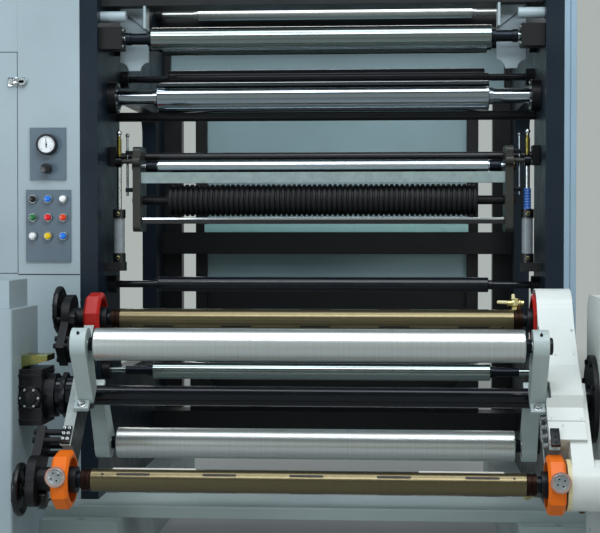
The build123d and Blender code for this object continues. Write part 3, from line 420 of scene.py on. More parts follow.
def make_piece(bm, name, finish_name, body, replaces=()):
    """Turns a bmesh into a finished piece that rides on its body, smooth where faces meet at a soft angle."""
    bmesh.ops.recalc_face_normals(bm, faces=bm.faces)
    for face in bm.faces:
        face.smooth = True
    for edge in bm.edges:
        edge.smooth = edge.calc_face_angle(0.0) < SMOOTH_BELOW
    mesh = bpy.data.meshes.new(name)
    bm.to_mesh(mesh)
    bm.free()
    mesh.materials.append(finish(finish_name))
    piece = bpy.data.objects.new(name, mesh)
    bpy.context.scene.collection.objects.link(piece)
    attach(piece, body)
    if replaces:
        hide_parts(*replaces)
    return piece


def whole(verts):
    """The given vertices with all that hang together with them."""
    found, stack = set(verts), list(verts)
    while stack:
        vert = stack.pop()
        for edge in vert.link_edges:
            other = edge.other_vert(vert)
            if other not in found:
                found.add(other)
                stack.append(other)
    return found


def spun(bm, profile, place, segments=96):
    """Adds a turned form: profile is (distance along the axis, radius) in mm, and place turns local Z to
    the axis."""
    points = [bm.verts.new((radius * MM, 0, along * MM)) for along, radius in profile]
    edges = [bm.edges.new(pair) for pair in zip(points, points[1:])]
    bmesh.ops.spin(bm, geom=points + edges, cent=(0, 0, 0), axis=(0, 0, 1), angle=2 * pi, steps=segments,
                   use_merge=True)
    verts = whole(points)
    poles = [v for v in verts if hypot(v.co.x, v.co.y) < 1e-7]
    bmesh.ops.remove_doubles(bm, verts=poles, dist=1e-6)
    bmesh.ops.transform(bm, matrix=place, verts=[v for v in verts if v.is_valid])


def along_x(x, y, z, side=1):
    """A place whose local Z points along X, outwards on the given side, in mm."""
    return Matrix.Translation(world(x, y, z)) @ Matrix.Rotation(side * pi / 2, 4, "Y")


def facing(point, direction):
    """A place at a point in mm whose local Z points in a direction."""
    turn = Vector(direction).to_track_quat("Z", "Y").to_matrix().to_4x4()
    return Matrix.Translation(Vector(point) * MM) @ turn


def round_edges(bm, edges, offset_mm, segments=2):
    """Rounds edges by so many mm, and gives the vertices this makes."""
    return bmesh.ops.bevel(bm, geom=list(edges), offset=offset_mm * MM, segments=segments, profile=0.5,
                           affect="EDGES", material=-1)["verts"]


def add_block(bm, place, size, bevel_mm=0.0):
    """Adds a block of a size in mm round a place, with its edges rounded."""
    scale = Matrix.Diagonal((*[length * MM for length in size], 1.0))
    verts = bmesh.ops.create_cube(bm, size=1.0, matrix=place @ scale)["verts"]
    if bevel_mm:
        round_edges(bm, {edge for vert in verts for edge in vert.link_edges}, bevel_mm)
    return verts


def add_box(bm, low, high, bevel_mm=0.0):
    """Adds a block between two corners in mm."""
    low, high = Vector(low), Vector(high)
    add_block(bm, Matrix.Translation((low + high) / 2 * MM), high - low, bevel_mm)


def add_hex_bolt(bm, place, across, head, washer=False):
    """Adds a hexagon head, on a washer if there is one, standing on the plane of place."""
    rise = 2.0 if washer else 0.0
    if washer:
        rim = across * 0.72
        spun(bm, [(0, rim), (rise - 0.4, rim), (rise, across * 0.68), (rise, 0)], place, 20)
    radius = across / 2 / cos(pi / 6) * MM
    middle = Matrix.Translation((0, 0, (rise + head / 2) * MM))
    made = bmesh.ops.create_cone(bm, cap_ends=True, segments=6, radius1=radius, radius2=radius,
                                 depth=head * MM, matrix=place @ middle)
    caps = [f for f in {f for v in made["verts"] for f in v.link_faces} if len(f.verts) == 6]
    top = max(caps, key=lambda f: (place.inverted() @ f.calc_center_median()).z)
    round_edges(bm, top.edges, across * 0.06, 1)


def add_socket_screw(bm, place, radius, head):
    """Adds a socket head: a low cylinder with a sunk middle."""
    spun(bm, [(0, radius), (head - 0.8, radius), (head, radius - 0.8), (head, radius * 0.5),
              (head * 0.4, radius * 0.5), (head * 0.4, 0)], place, 16)


def lobed(bm, place, radius, lobes, depth, height, steps=8):
    """Adds a knob whose rim rises and falls in lobes."""
    count = lobes * steps
    made = bmesh.ops.create_cone(bm, cap_ends=True, segments=count, radius1=radius * MM, radius2=radius * MM,
                                 depth=height * MM)
    for vert in made["verts"]:
        scale = 1 - depth / radius * (0.5 - 0.5 * cos(lobes * atan2(vert.co.y, vert.co.x)))
        vert.co.x *= scale
        vert.co.y *= scale
    rims = {edge for vert in made["verts"] for face in vert.link_faces if len(face.verts) == count
            for edge in face.edges}
    verts = whole(round_edges(bm, rims, min(height, radius) * 0.12))
    bmesh.ops.transform(bm, matrix=place @ Matrix.Translation((0, 0, height / 2 * MM)), verts=list(verts))


def turret_direction(along, across):
    """A direction on the turret: along the line through both air shafts, and across it."""
    return (0.0, along * cos(TILT) - across * sin(TILT), along * sin(TILT) + across * cos(TILT))


def turret_point(x, along, across):
    """A point of the turret in mm, from its place along and across the line through both air shafts."""
    y, z = axis_of("turret_arms")
    away = turret_direction(along, across)
    return (x, y + away[1], z + away[2])


def turret_block(bm, low, high, along, length, across, height, bevel_mm=1.2):
    """Adds a block on the turret from its two ends in X, the middle of its length and of its height."""
    place = Matrix.Translation(world(*turret_point((low + high) / 2, along, across)))
    add_block(bm, place @ Matrix.Rotation(TILT, 4, "X"), (high - low, length, height), bevel_mm)


def mirrored(right):
    """A roller's whole profile from its right half, which starts at the tip."""
    return right + [(-x, radius) for x, radius in reversed(right)]


def roller_profile(half_face, radius, shaft, tip, chamfer=2.0, shoulder=0.0):
    """Profile of a roller on its shaft, with a shoulder between them if one is given."""
    neck = [(half_face, shaft + shoulder)]
    if shoulder:
        neck = [(half_face + 14, shaft), (half_face + 14, shaft + shoulder)] + neck
    return mirrored([(tip, 0), (tip, shaft - 1), (tip - 1, shaft)] + neck
                    + [(half_face, radius - chamfer), (half_face - chamfer, radius)])


def turned_roller(name, finish_name, body, profile, segments):
    """Makes the turned piece that takes the place of a CAD roller or shaft."""
    bm = bmesh.new()
    spun(bm, profile, along_x(0, *axis_of(body)), segments)
    make_piece(bm, name, finish_name, body, [body])


def turned_ends(name, finish_name, body, profile, x, segments=40):
    """Makes a piece of two turned forms, one at each end of a roller's face, from x outwards."""
    bm = bmesh.new()
    for side in SIDES:
        spun(bm, profile, along_x(side * x, *axis_of(body), side), segments)
    make_piece(bm, name, finish_name, body)


# Pieces

CAD_FINISHES = {
    "wallboard_enamel": "left_wallboard right_wallboard",
    "panel_enamel": "control_column electrical_cabinet cabinet_plinth cabinet_door left_stand beam_hangers "
                    "top_spacers door_latch",
    "base_enamel": "feet base_plate",
    "guide_arm_enamel": "guide_arms",
    "cover_enamel": "right_stand turret_gear_cover",
    "beam_enamel": "front_top_beam rear_top_beam rear_low_beam rear_posts rear_guard rear_cross_bar tie_rod",
    "dark_coat": "turret_shaft",
    "arm_edge_enamel": "turret_arms",
    "rear_enamel": "rear_panel",
    "arm_enamel": "press_arm_plates",
    "press_bar_enamel": "press_arm_bars",
    "plate_enamel": "instrument_plates",
    "duct_anodised": "edge_duct",
    "black_casting": "turret_gearbox bearing_flange chuck_housings front_chuck_sockets rear_chuck_sockets",
    "bearing_casting": "roller_bearings press_arm_bearings",
    "chuck_enamel": "front_chucks",
    # the rear chucks take the enamel painted darker and redder, as painted shade and a painted red glow
    "rear_chuck_shaded_enamel": "rear_chucks",
    "yellow_zinc": "gearbox_bracket",
    "cylinder_bands": "air_cylinders",
    "rod_bands": "left_cylinder_rod right_cylinder_rod",
    "dial_black": "pressure_gauge push_buttons",
}


class WINDER_OT_finishes(bpy.types.Operator):
    """Give every CAD node that stays in sight its finish"""
    bl_idname = "winder.finishes"
    bl_label = "CAD Finishes"

    def execute(self, context):
        for finish_name, nodes in CAD_FINISHES.items():
            for node in nodes.split():
                materials = frame["nodes"][node].data.materials
                materials.clear()
                materials.append(finish(finish_name))
        return {"FINISHED"}


class WINDER_OT_frame_rollers(bpy.types.Operator):
    """Build the web rollers that turn between the wallboards"""
    bl_idname = "winder.frame_rollers"
    bl_label = "Frame Rollers"

    def execute(self, context):
        stepped = [(0.3, 16.2), (0.3, 19), (15, 19), (16, 18), (16, 14.5), (92, 14.5), (92, 12.2)]
        sleeves = {"upper_roller": [(0.3, 16.3), (0.3, 24), (12, 24), (13, 18.6), (66, 18.6), (67, 21), (84, 21),
                                    (84, 16.3)],
                   "thin_idler_roller": stepped, "low_idler_roller": stepped}
        for node, shaft, coat, slot, shoulder in (
                ("chrome_roller", 25, "hard_chrome", "chrome", 4),
                ("upper_roller", 16, "ground_steel", "ground_steel", 0),
                ("thin_idler_roller", 12, "ground_steel", "ground_steel", 4),
                ("dark_idler_roller", 12, "dark_coat", "dark_roller_coat", 4),
                ("black_idler_roller", 12, "dark_coat", "dark_roller_coat", 4),
                ("low_idler_roller", 12, "ground_steel", "ground_steel", 4),
                ("far_idler_roller", 12, "turned_aluminium", "ground_steel", 4)):
            low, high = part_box(node)
            radius = (high.z - low.z) / 2 / MM
            profile = roller_profile(FRAME_FACE, radius, shaft, high.x / MM, 2, shoulder)
            turned_roller("turned_" + node, coat, node, profile, context.scene.winder_rollers.segments)
            if node in sleeves:
                turned_ends(node + "_sleeves", "black_steel", node, sleeves[node], FRAME_FACE)
        return {"FINISHED"}


class WINDER_OT_press_rollers(bpy.types.Operator):
    """Build the two rollers of the press arm"""
    bl_idname = "winder.press_rollers"
    bl_label = "Press Arm Rollers"

    def execute(self, context):
        settings = context.scene.winder_rollers
        tip = PRESS_ARM_OUTER
        node = "press_steel_roller"
        turned_roller("turned_" + node, "lapped_steel", node,
                      roller_profile(FRAME_FACE, 22, 11, tip, 1.5, 5), settings.segments)
        sleeve = [(3, 16.2), (3, 18.5), (4, 19.5), (40, 19.5), (41, 18.5), (41, 11.2)]
        turned_ends("press_roller_sleeves", "black_steel", node, sleeve, FRAME_FACE)

        half, radius, shaft = 515, 53.5, 15
        count = int(2 * half / settings.rib_pitch)
        pitch = 2 * half / count
        valley = radius - settings.rib_depth
        rib = ((0.10, valley), (0.22, radius - 0.8), (0.34, radius), (0.66, radius), (0.78, radius - 0.8),
               (0.90, valley))
        profile = [(-tip, 0), (-tip, shaft - 1), (-tip + 1, shaft), (-half, shaft), (-half, valley)]
        profile += [(-half + (number + share) * pitch, height) for number in range(count) for share, height in rib]
        profile += [(half, valley), (half, shaft), (tip - 1, shaft), (tip, shaft - 1), (tip, 0)]
        turned_roller("ribbed_rubber_roller", "black_rubber", "press_rubber_roller", profile, 64)
        return {"FINISHED"}


class WINDER_OT_guide_rollers(bpy.types.Operator):
    """Build the two aluminium guide rollers of the turret, their hubs, bearing caps and oil nipples"""
    bl_idname = "winder.guide_rollers"
    bl_label = "Guide Rollers"

    def execute(self, context):
        caps, nipples = open_meshes(2)
        hub = [(0.3, 14.2), (0.3, 26), (4, 26), (5, 25), (5, 21), (17, 19), (18, 18), (18, 14.2)]
        cap = [(0, 0), (0, 24), (10, 24), (12, 22), (12, 9), (9, 8), (9, 0)]
        nipple = [(0, 0), (0, 4.5), (3, 4.5), (4, 2.6), (8, 2.6), (9, 1.6), (9, 0)]
        for station, sign in (("front", 1), ("rear", -1)):
            node = station + "_guide_roller"
            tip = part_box(node)[1].x / MM
            turned_roller("turned_" + node, "turned_aluminium", node,
                          roller_profile(TURRET_FACE, 46, 14, tip, 2.5), context.scene.winder_rollers.segments)
            turned_ends(station + "_guide_hubs", "black_steel", node, hub, TURRET_FACE, 48)
            for side in SIDES:
                spun(caps, cap, along_x(side * ARM_INNER, *axis_of(node), side), 40)
                spot = turret_point(side * 642, 0, sign * (GUIDE_ORBIT + 45.5))
                spun(nipples, nipple, facing(spot, turret_direction(0, sign)), 12)
        make_piece(caps, "guide_bearing_caps", "black_casting", "turret")
        make_piece(nipples, "guide_oil_nipples", "black_steel", "turret")
        return {"FINISHED"}


def shaft_place(x, y, z, turn):
    """A place on an air shaft's skin whose local Z points outwards; turn 0 faces the operator, 90 degrees up."""
    return (Matrix.Translation(world(x, y, z)) @ Matrix.Rotation(pi / 2 - turn, 4, "X")
            @ Matrix.Translation(world(0, 0, SHAFT_RADIUS)))


class WINDER_OT_air_shafts(bpy.types.Operator):
    """Build the expanding air shafts with their leaves, collars and air valves"""
    bl_idname = "winder.air_shafts"
    bl_label = "Air Shafts"

    def execute(self, context):
        settings = context.scene.winder_rollers
        collar = [(0.2, 28.2), (0.2, 30.4), (1.4, 31.6), (11, 31.6), (12, 30.2), (14, 30.2), (15, 31.6), (26, 31.6),
                  (27.5, 29.5), (27.5, 20.3)]
        sleeve = [(28.2, 20.3), (28.2, 23), (39.2, 23), (39.2, 20.3)]
        # each station: the angle of its first row of leaves, and the way its air valve points
        for station, first_row, valve_way in (("front", 40, (0, 0.8, -0.6)), ("rear", 80, (0, 0.26, 0.966))):
            body = station + "_air_shaft"
            y, z = axis_of(body)
            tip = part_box(body)[1].x / MM
            turned_roller(station + "_bronze_shaft", "bronze_anodised", body, mirrored([
                (tip, 0), (tip, 18.5), (tip - 1.5, 20), (TURRET_FACE + 28, 20), (TURRET_FACE + 28, 28),
                (TURRET_FACE, 28), (TURRET_FACE, 31), (TURRET_FACE - 1, SHAFT_RADIUS)]), settings.segments)
            turned_ends(station + "_shaft_collars", "brown_collar", body, collar,
                        TURRET_FACE, 64)
            turned_ends(station + "_journal_sleeves", "black_steel", body, sleeve, TURRET_FACE, 48)

            leaves, strips, pins, valve, levers = open_meshes(5)
            for row in range(settings.slot_rows):
                turn = radians(first_row) + row * 2 * pi / settings.slot_rows
                for index in (-2, -1, 0, 1, 2):
                    verts = add_block(leaves, shaft_place(index * LEAF_PITCH, y, z, turn),
                                      (settings.slot_length, settings.slot_width, 1.2))
                    ends = {edge for vert in verts for edge in vert.link_edges if edge.calc_length() < 1.3 * MM}
                    round_edges(leaves, ends, settings.slot_width * 0.49, 4)
                for side in SIDES:
                    spun(pins, [(-1, 0), (-1, 3.6), (0.4, 3.4), (0.4, 0)], shaft_place(side * 566, y, z, turn), 14)
            for side in SIDES:
                add_block(strips, shaft_place(side * 424, y, z, radians(first_row + 48)), (233, 10, 3.6))
            make_piece(leaves, station + "_shaft_leaves", "leaf_rubber", body)
            make_piece(strips, station + "_key_strips", "pale_strip", body)
            make_piece(pins, station + "_shaft_pins", "black_steel", body)

            out = Vector(valve_way)
            foot = Vector((609, y, z)) + out * 30
            add_hex_bolt(valve, facing(foot, out), 26, 9)
            spun(valve, [(8, 9), (12, 9), (13, 14), (34, 14), (36, 11), (36, 0)], facing(foot, out), 24)
            spun(valve, [(-26, 0), (-26, 9), (-14, 9), (-13, 12.5), (12, 12.5), (13, 10), (23, 10), (24, 9),
                         (24, 0)], facing(foot + out * 22, (1, 0, 0)), 24)
            make_piece(valve, station + "_air_valve", "brass", body)
            for reach, rise, way in ((50, 24, Vector((-1, 0, 0)) + out * 0.04), (18, 34, out)):
                spun(levers, [(0, 0), (0, 5.4), (1, 6), (reach - 2, 5), (reach, 0)],
                     facing(foot + out * rise + Vector((-8, 0, 0)), way), 16)
            make_piece(levers, station + "_valve_lever", "cream_plastic", body)
        return {"FINISHED"}


class WINDER_OT_chucks(bpy.types.Operator):
    """Build the bright lock buttons of the safety chucks"""
    bl_idname = "winder.chucks"
    bl_label = "Safety Chucks"

    def execute(self, context):
        drop = radians(14)
        cap = [(0.4, 28.1), (0.4, 28.6), (5.6, 28.6), (7.4, 27.2), (7.4, 24.4), (6.6, 23.6), (7.2, 22.8), (7.5, 16),
               (7.1, 15.5), (7.5, 15), (7.7, 8), (7.8, 0)]
        for station, out in (("front", -1), ("rear", 1)):
            body = station + "_air_shaft"
            y, z = axis_of(body)
            direction = Vector((0, out * cos(drop), -out * sin(drop)))
            caps, dots = open_meshes(2)
            for side in SIDES:
                place = facing(Vector((side * 686, y, z)) + direction * 76, direction)
                spun(caps, cap, place, 64)
                for c, s in around(4, 0.5):
                    spot = place @ Matrix.Translation(world(11 * c, 11 * s, 7.3))
                    spun(dots, [(0, 2.6), (0.7, 2.4), (0.7, 0)], spot, 14)
            make_piece(caps, station + "_chuck_buttons", "polished_steel", body)
            make_piece(dots, station + "_button_screws", "black_steel", body)
        return {"FINISHED"}


class WINDER_OT_handwheels(bpy.types.Operator):
    """Build the dished handwheels and the star knobs of the chuck housings"""
    bl_idname = "winder.handwheels"
    bl_label = "Handwheels and Knobs"

    def execute(self, context):
        dish = [(0, 0), (0, 21), (1.5, 22), (5, 22), (7.5, 30), (8.5, 54), (5, 60), (1.5, 65), (0.5, 69), (2.5, 73),
                (8, 74.5), (13, 74), (17, 70.5), (18.5, 66), (17, 61), (14.5, 54), (14.5, 30), (17, 22), (24.5, 21),
                (26, 19.5), (26, 12), (23, 10), (23, 0)]
        for station in ("front", "rear"):
            node = station + "_handwheel"
            y, z = axis_of(node)
            bm = bmesh.new()
            spun(bm, dish, along_x(WHEEL_BACK, y, z, -1), 72)
            spun(bm, [(0, 0), (0, 10), (1, 11), (35, 11), (35, 0)], along_x(SPINDLE_BACK, y, z, -1), 32)
            make_piece(bm, station + "_dished_wheel", "black_phenolic", node, [node])

            bm = bmesh.new()
            for lobe in range(12):
                turn = 2 * pi * (lobe + 0.5) / 12
                place = Matrix.Translation(world(WHEEL_BACK - 9.5, y + 70 * cos(turn), z + 70 * sin(turn)))
                size = Matrix.Diagonal((8.6 * MM, 4.5 * MM, 11 * MM, 1.0))
                bmesh.ops.create_uvsphere(bm, u_segments=12, v_segments=8, radius=1.0,
                                          matrix=place @ Matrix.Rotation(turn, 4, "X") @ size)
            make_piece(bm, station + "_wheel_grips", "black_phenolic", node)

        heads, nuts = open_meshes(2)
        for sign, along, across in ((-1, 338.2, -38.2), (1, 261.8, 38.2)):
            lobed(heads, along_x(*turret_point(KNOB_BACK, sign * along, across), -1), 26, 6, 2.8, 20.6)
            spun(heads, [(-0.4, 0), (-0.4, 9), (4, 9), (5, 8), (5, 0)],
                 along_x(*turret_point(KNOB_SHAFT_END, sign * along, across), -1), 24)
            for foot in (161, 189.6):
                for edge in SIDES:
                    spot = turret_point(HOUSING_FACE, sign * foot, edge * 32)
                    add_hex_bolt(nuts, along_x(*spot, -1), 15, 7, True)
        make_piece(heads, "star_knobs", "black_phenolic", "turret")
        make_piece(nuts, "housing_nuts", "black_steel", "turret")
        return {"FINISHED"}


class WINDER_OT_turret_bolts(bpy.types.Operator):
    """Add the guide arms' feet and the end blocks of the turret arms, with their bolts and screws"""
    bl_idname = "winder.turret_bolts"
    bl_label = "Turret Bolts"

    def execute(self, context):
        bolts, feet, blocks, holes = open_meshes(4)
        for sign in SIDES:
            outwards = turret_direction(0, sign)
            # each side: the foot's ends in X, the arm's half width and the middle of its end block
            for side, near, far, edge, middle in ((-1, 630, 672, 56, 192), (1, 621, 662, 80, 203)):
                low, high = sorted((side * near, side * far))
                turret_block(feet, low, high, -sign * 89.5, 31, sign * 64.2, 15.6)
                spot = turret_point((low + high) / 2, -sign * 89.5, sign * 72)
                add_hex_bolt(bolts, facing(spot, outwards), 17, 9, True)
                low, high = sorted((side * 667, side * 692))
                turret_block(blocks, low, high, -sign * middle, 58, sign * (edge + 5.2), 10)
                for along in (middle - 19, middle, middle + 19):
                    if side > 0:
                        spot = turret_point((low + high) / 2, -sign * along, sign * (edge + 9.8))
                        add_socket_screw(holes, facing(spot, outwards), 4.6, 2)
                        continue
                    for x in (low + 6, high - 6):
                        spot = turret_point(x, -sign * along, sign * (edge + 10.2))
                        add_socket_screw(bolts, facing(spot, outwards), 5, 6)
            for along in (98, 130, 162, 194):
                spot = turret_point(ARM_INNER, -sign * along, sign * 36)
                add_hex_bolt(bolts, facing(spot, (-1, 0, 0)), 15, 13, True)
        make_piece(bolts, "turret_bolts", "bolt_zinc", "turret")
        make_piece(feet, "guide_arm_feet", "guide_arm_enamel", "turret")
        make_piece(blocks, "arm_end_blocks", "black_casting", "turret")
        make_piece(holes, "end_block_screws", "black_steel", "turret")
        return {"FINISHED"}


class WINDER_OT_frame_bolts(bpy.types.Operator):
    """Add the bolts of bearings and stands, the gearbox cover and the coupling on the turret's end"""
    bl_idname = "winder.frame_bolts"
    bl_label = "Frame Bolts"

    def execute(self, context):
        bright, dark, cover, coupling = open_meshes(4)
        for side, stand_x, spread_x in ((-1, -973, 85), (1, 957, 100)):
            y, z = axis_of("upper_roller")
            for dy, dz in CORNERS:
                add_hex_bolt(bright, facing((side * 645, y + dy * 26, z + dz * 26), (-side, 0, 0)), 10, 5)
            y, z = axis_of("chrome_roller")
            for c, s in around(6, pi / 6):
                add_hex_bolt(bright, facing((side * 690, y + 42 * c, z + 42 * s), (-side, 0, 0)), 10, 5)
            y = axis_of("turret_arms")[0]
            for dx, dy in CORNERS:
                spot = (stand_x + dx * spread_x, y + dy * 172.5, 20)
                add_hex_bolt(bright, facing(spot, (0, 0, 1)), 24, 14, True)

        y, z = axis_of("turret_arms")
        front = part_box("turret_gearbox")[0].y / MM
        spun(cover, [(-6, 0), (-6, 33), (5, 33), (7, 31), (7, 21), (11, 20), (12, 18), (12, 0)],
             facing((GEARBOX_X, front, z), (0, -1, 0)), 48)
        for c, s in around(6):
            add_hex_bolt(dark, facing((-775.3, y + 68 * c, z + 68 * s), (1, 0, 0)), 13, 7)
            add_hex_bolt(bright, facing((GEARBOX_X + 26.5 * c, front - 6.9, z + 26.5 * s), (0, -1, 0)), 7, 4)
        for c, s in around(8, pi / 8):
            add_hex_bolt(dark, facing((798, y + 110 * c, z + 110 * s), (-1, 0, 0)), 13, 7)
        lobed(coupling, along_x(-714, y, z, -1), 67, 8, 6, 15)
        make_piece(cover, "gearbox_cover", "black_casting", "machine_frame")
        make_piece(coupling, "turret_coupling", "black_casting", "turret")
        make_piece(bright, "frame_bolts", "bolt_zinc", "machine_frame")
        make_piece(dark, "flange_bolts", "black_steel", "machine_frame")
        return {"FINISHED"}


class WINDER_OT_outer_faces(bpy.types.Operator):
    """Add the outer bearing caps, the panel screws at the back, the bracket's apron and the column's seam"""
    bl_idname = "winder.outer_faces"
    bl_label = "Outer Faces"

    def execute(self, context):
        caps, screws, apron, seam = open_meshes(4)
        for node, radius, sides in (("chrome_roller", 50, (1,)), ("thin_idler_roller", 32, (1,)),
                                    ("dark_idler_roller", 32, (1,)), ("black_idler_roller", 32, (1,)),
                                    ("far_idler_roller", 32, SIDES)):
            y, z = axis_of(node)
            for side in sides:
                spun(caps, [(0.2, 0), (0.2, radius), (8, radius), (10, radius - 2), (10, radius * 0.6),
                            (16, radius * 0.55), (17, radius * 0.5), (17, 0)],
                     along_x(side * WALL_OUTER, y, z, side), 48)
                for c, s in around(4, pi / 4):
                    spot = (side * (WALL_OUTER + 9.9), y + radius * 0.8 * c, z + radius * 0.8 * s)
                    add_hex_bolt(screws, facing(spot, (side, 0, 0)), radius * 0.22, 4)
        for side in SIDES:
            edge = [(522, z) for z in (280, 480, 680, 880, 972, 1146, 1320, 1494, 1668)]
            for x, z in edge + [(x, 1868) for x in (150, 410, 660)]:
                add_socket_screw(screws, facing((side * x, PANEL_BACK, z), (0, 1, 0)), 7, 3.5)
        make_piece(caps, "outer_bearing_caps", "black_casting", "machine_frame")
        make_piece(screws, "outer_screws", "bolt_zinc", "machine_frame")

        low, high = [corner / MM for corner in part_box("gearbox_bracket")]
        add_box(apron, (low.x, low.y - 2.2, high.z - 36), (high.x, low.y - 0.2, high.z), 0.5)
        for vert in apron.verts:
            if vert.co.z < (high.z - 18) * MM and vert.co.x > (low.x + high.x) / 2 * MM:
                vert.co.z += 20 * MM
        add_box(seam, (-982, COLUMN_FRONT - 0.5, 971), (-779, COLUMN_FRONT + 0.5, 974.5))
        make_piece(apron, "bracket_apron", "yellow_zinc", "machine_frame")
        make_piece(seam, "column_seam", "dark_seam", "machine_frame")
        return {"FINISHED"}


class WINDER_OT_gauge(bpy.types.Operator):
    """Build the dial gauge and the regulator knob"""
    bl_idname = "winder.gauge"
    bl_label = "Pressure Gauge"

    def execute(self, context):
        dial = facing((DIAL_X, PLATE_FRONT, 1394), (0, -1, 0))
        knob = facing((DIAL_X, PLATE_FRONT, 1316), (0, -1, 0))
        case, face, marks = open_meshes(3)
        spun(case, [(0, 0), (0, 33), (1, 34), (16, 34), (17, 33.2), (18, 34), (22, 34), (24, 32), (24, 28),
                    (20, 27), (20, 0)], dial, 64)
        spun(case, [(0, 0), (0, 12), (6, 12), (6, 0)], knob, 32)
        lobed(case, knob @ Matrix.Translation((0, 0, 6 * MM)), 17, 14, 1.2, 28, 6)
        spun(face, [(20, 27), (20.6, 26.6), (20.6, 0)], dial, 48)
        for tick in range(21):
            width, length = (1.2, 5.0) if tick % 5 == 0 else (0.7, 3.0)
            place = dial @ Matrix.Rotation(-radians(-135 + 270 * tick / 20), 4, "Z")
            place = place @ Matrix.Translation((0, (24.5 - length / 2) * MM, 20.7 * MM))
            add_block(marks, place, (width, length, 0.3))
        spun(marks, [(20.6, 3.2), (22, 3), (22, 0)], dial, 24)
        hand = dial @ Matrix.Rotation(radians(4), 4, "Z") @ Matrix.Translation((0, 5 * MM, 21.4 * MM))
        flat = Matrix.Diagonal((1.0, 1.0, 0.3, 1.0)) @ Matrix.Rotation(-pi / 2, 4, "X")
        bmesh.ops.create_cone(marks, cap_ends=True, segments=4, radius1=2 * MM, radius2=0.4 * MM, depth=30 * MM,
                              matrix=hand @ flat)
        make_piece(case, "gauge_case", "dial_black", "machine_frame", ["pressure_gauge"])
        make_piece(face, "gauge_dial", "dial_white", "machine_frame")
        make_piece(marks, "gauge_marks", "dial_black", "machine_frame")
        return {"FINISHED"}


class WINDER_OT_buttons(bpy.types.Operator):
    """Build the nine push buttons with their collars"""
    bl_idname = "winder.buttons"
    bl_label = "Push Buttons"

    def execute(self, context):
        collars = bmesh.new()
        caps = {}
        for row, colours in enumerate(("black blue white", "green red orange", "white yellow blue")):
            for column, colour in enumerate(colours.split()):
                place = facing((BUTTONS_X + (column - 1) * BUTTON_PITCH[0], PLATE_FRONT,
                                BUTTONS_TOP - row * BUTTON_PITCH[1]), (0, -1, 0))
                spun(collars, [(0, 0), (0, 14.5), (6, 14.5), (8, 13.2), (8, 11.2), (6.5, 10.6), (6.5, 0)],
                     place, 40)
                spun(caps.setdefault("button_" + colour, bmesh.new()),
                     [(6.6, 10.4), (16, 10.4), (18.5, 9), (19.6, 5), (20, 0)], place, 40)
        make_piece(collars, "button_collars", "polished_steel", "machine_frame", ["push_buttons"])
        for name, bm in caps.items():
            make_piece(bm, name + "_caps", name, "machine_frame")
        return {"FINISHED"}


class WINDER_OT_latch(bpy.types.Operator):
    """Build the chromed latch of the cabinet door"""
    bl_idname = "winder.latch"
    bl_label = "Door Latch"

    def execute(self, context):
        low, high = [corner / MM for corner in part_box("door_latch")]
        middle = (low.z + high.z) / 2
        bm = bmesh.new()
        add_box(bm, (low.x + 2, high.y - 5, low.z + 3), (low.x + 34, high.y, high.z - 3), 1.5)
        add_box(bm, (low.x + 10, low.y, middle - 6), (high.x - 8, low.y + 4, middle + 6), 1.8)
        spun(bm, [(0, 0), (0, 11.5), (5, 11.5), (7, 9.5), (7, 0)],
             facing((low.x + 14, high.y - 5, middle), (0, -1, 0)), 32)
        spun(bm, [(0, 0), (0, 14), (8, 14), (10, 12), (10, 0)],
             facing((high.x - 15, high.y - 2, middle), (0, -1, 0)), 32)
        make_piece(bm, "chromed_latch", "polished_steel", "cabinet_door", ["door_latch"])
        return {"FINISHED"}


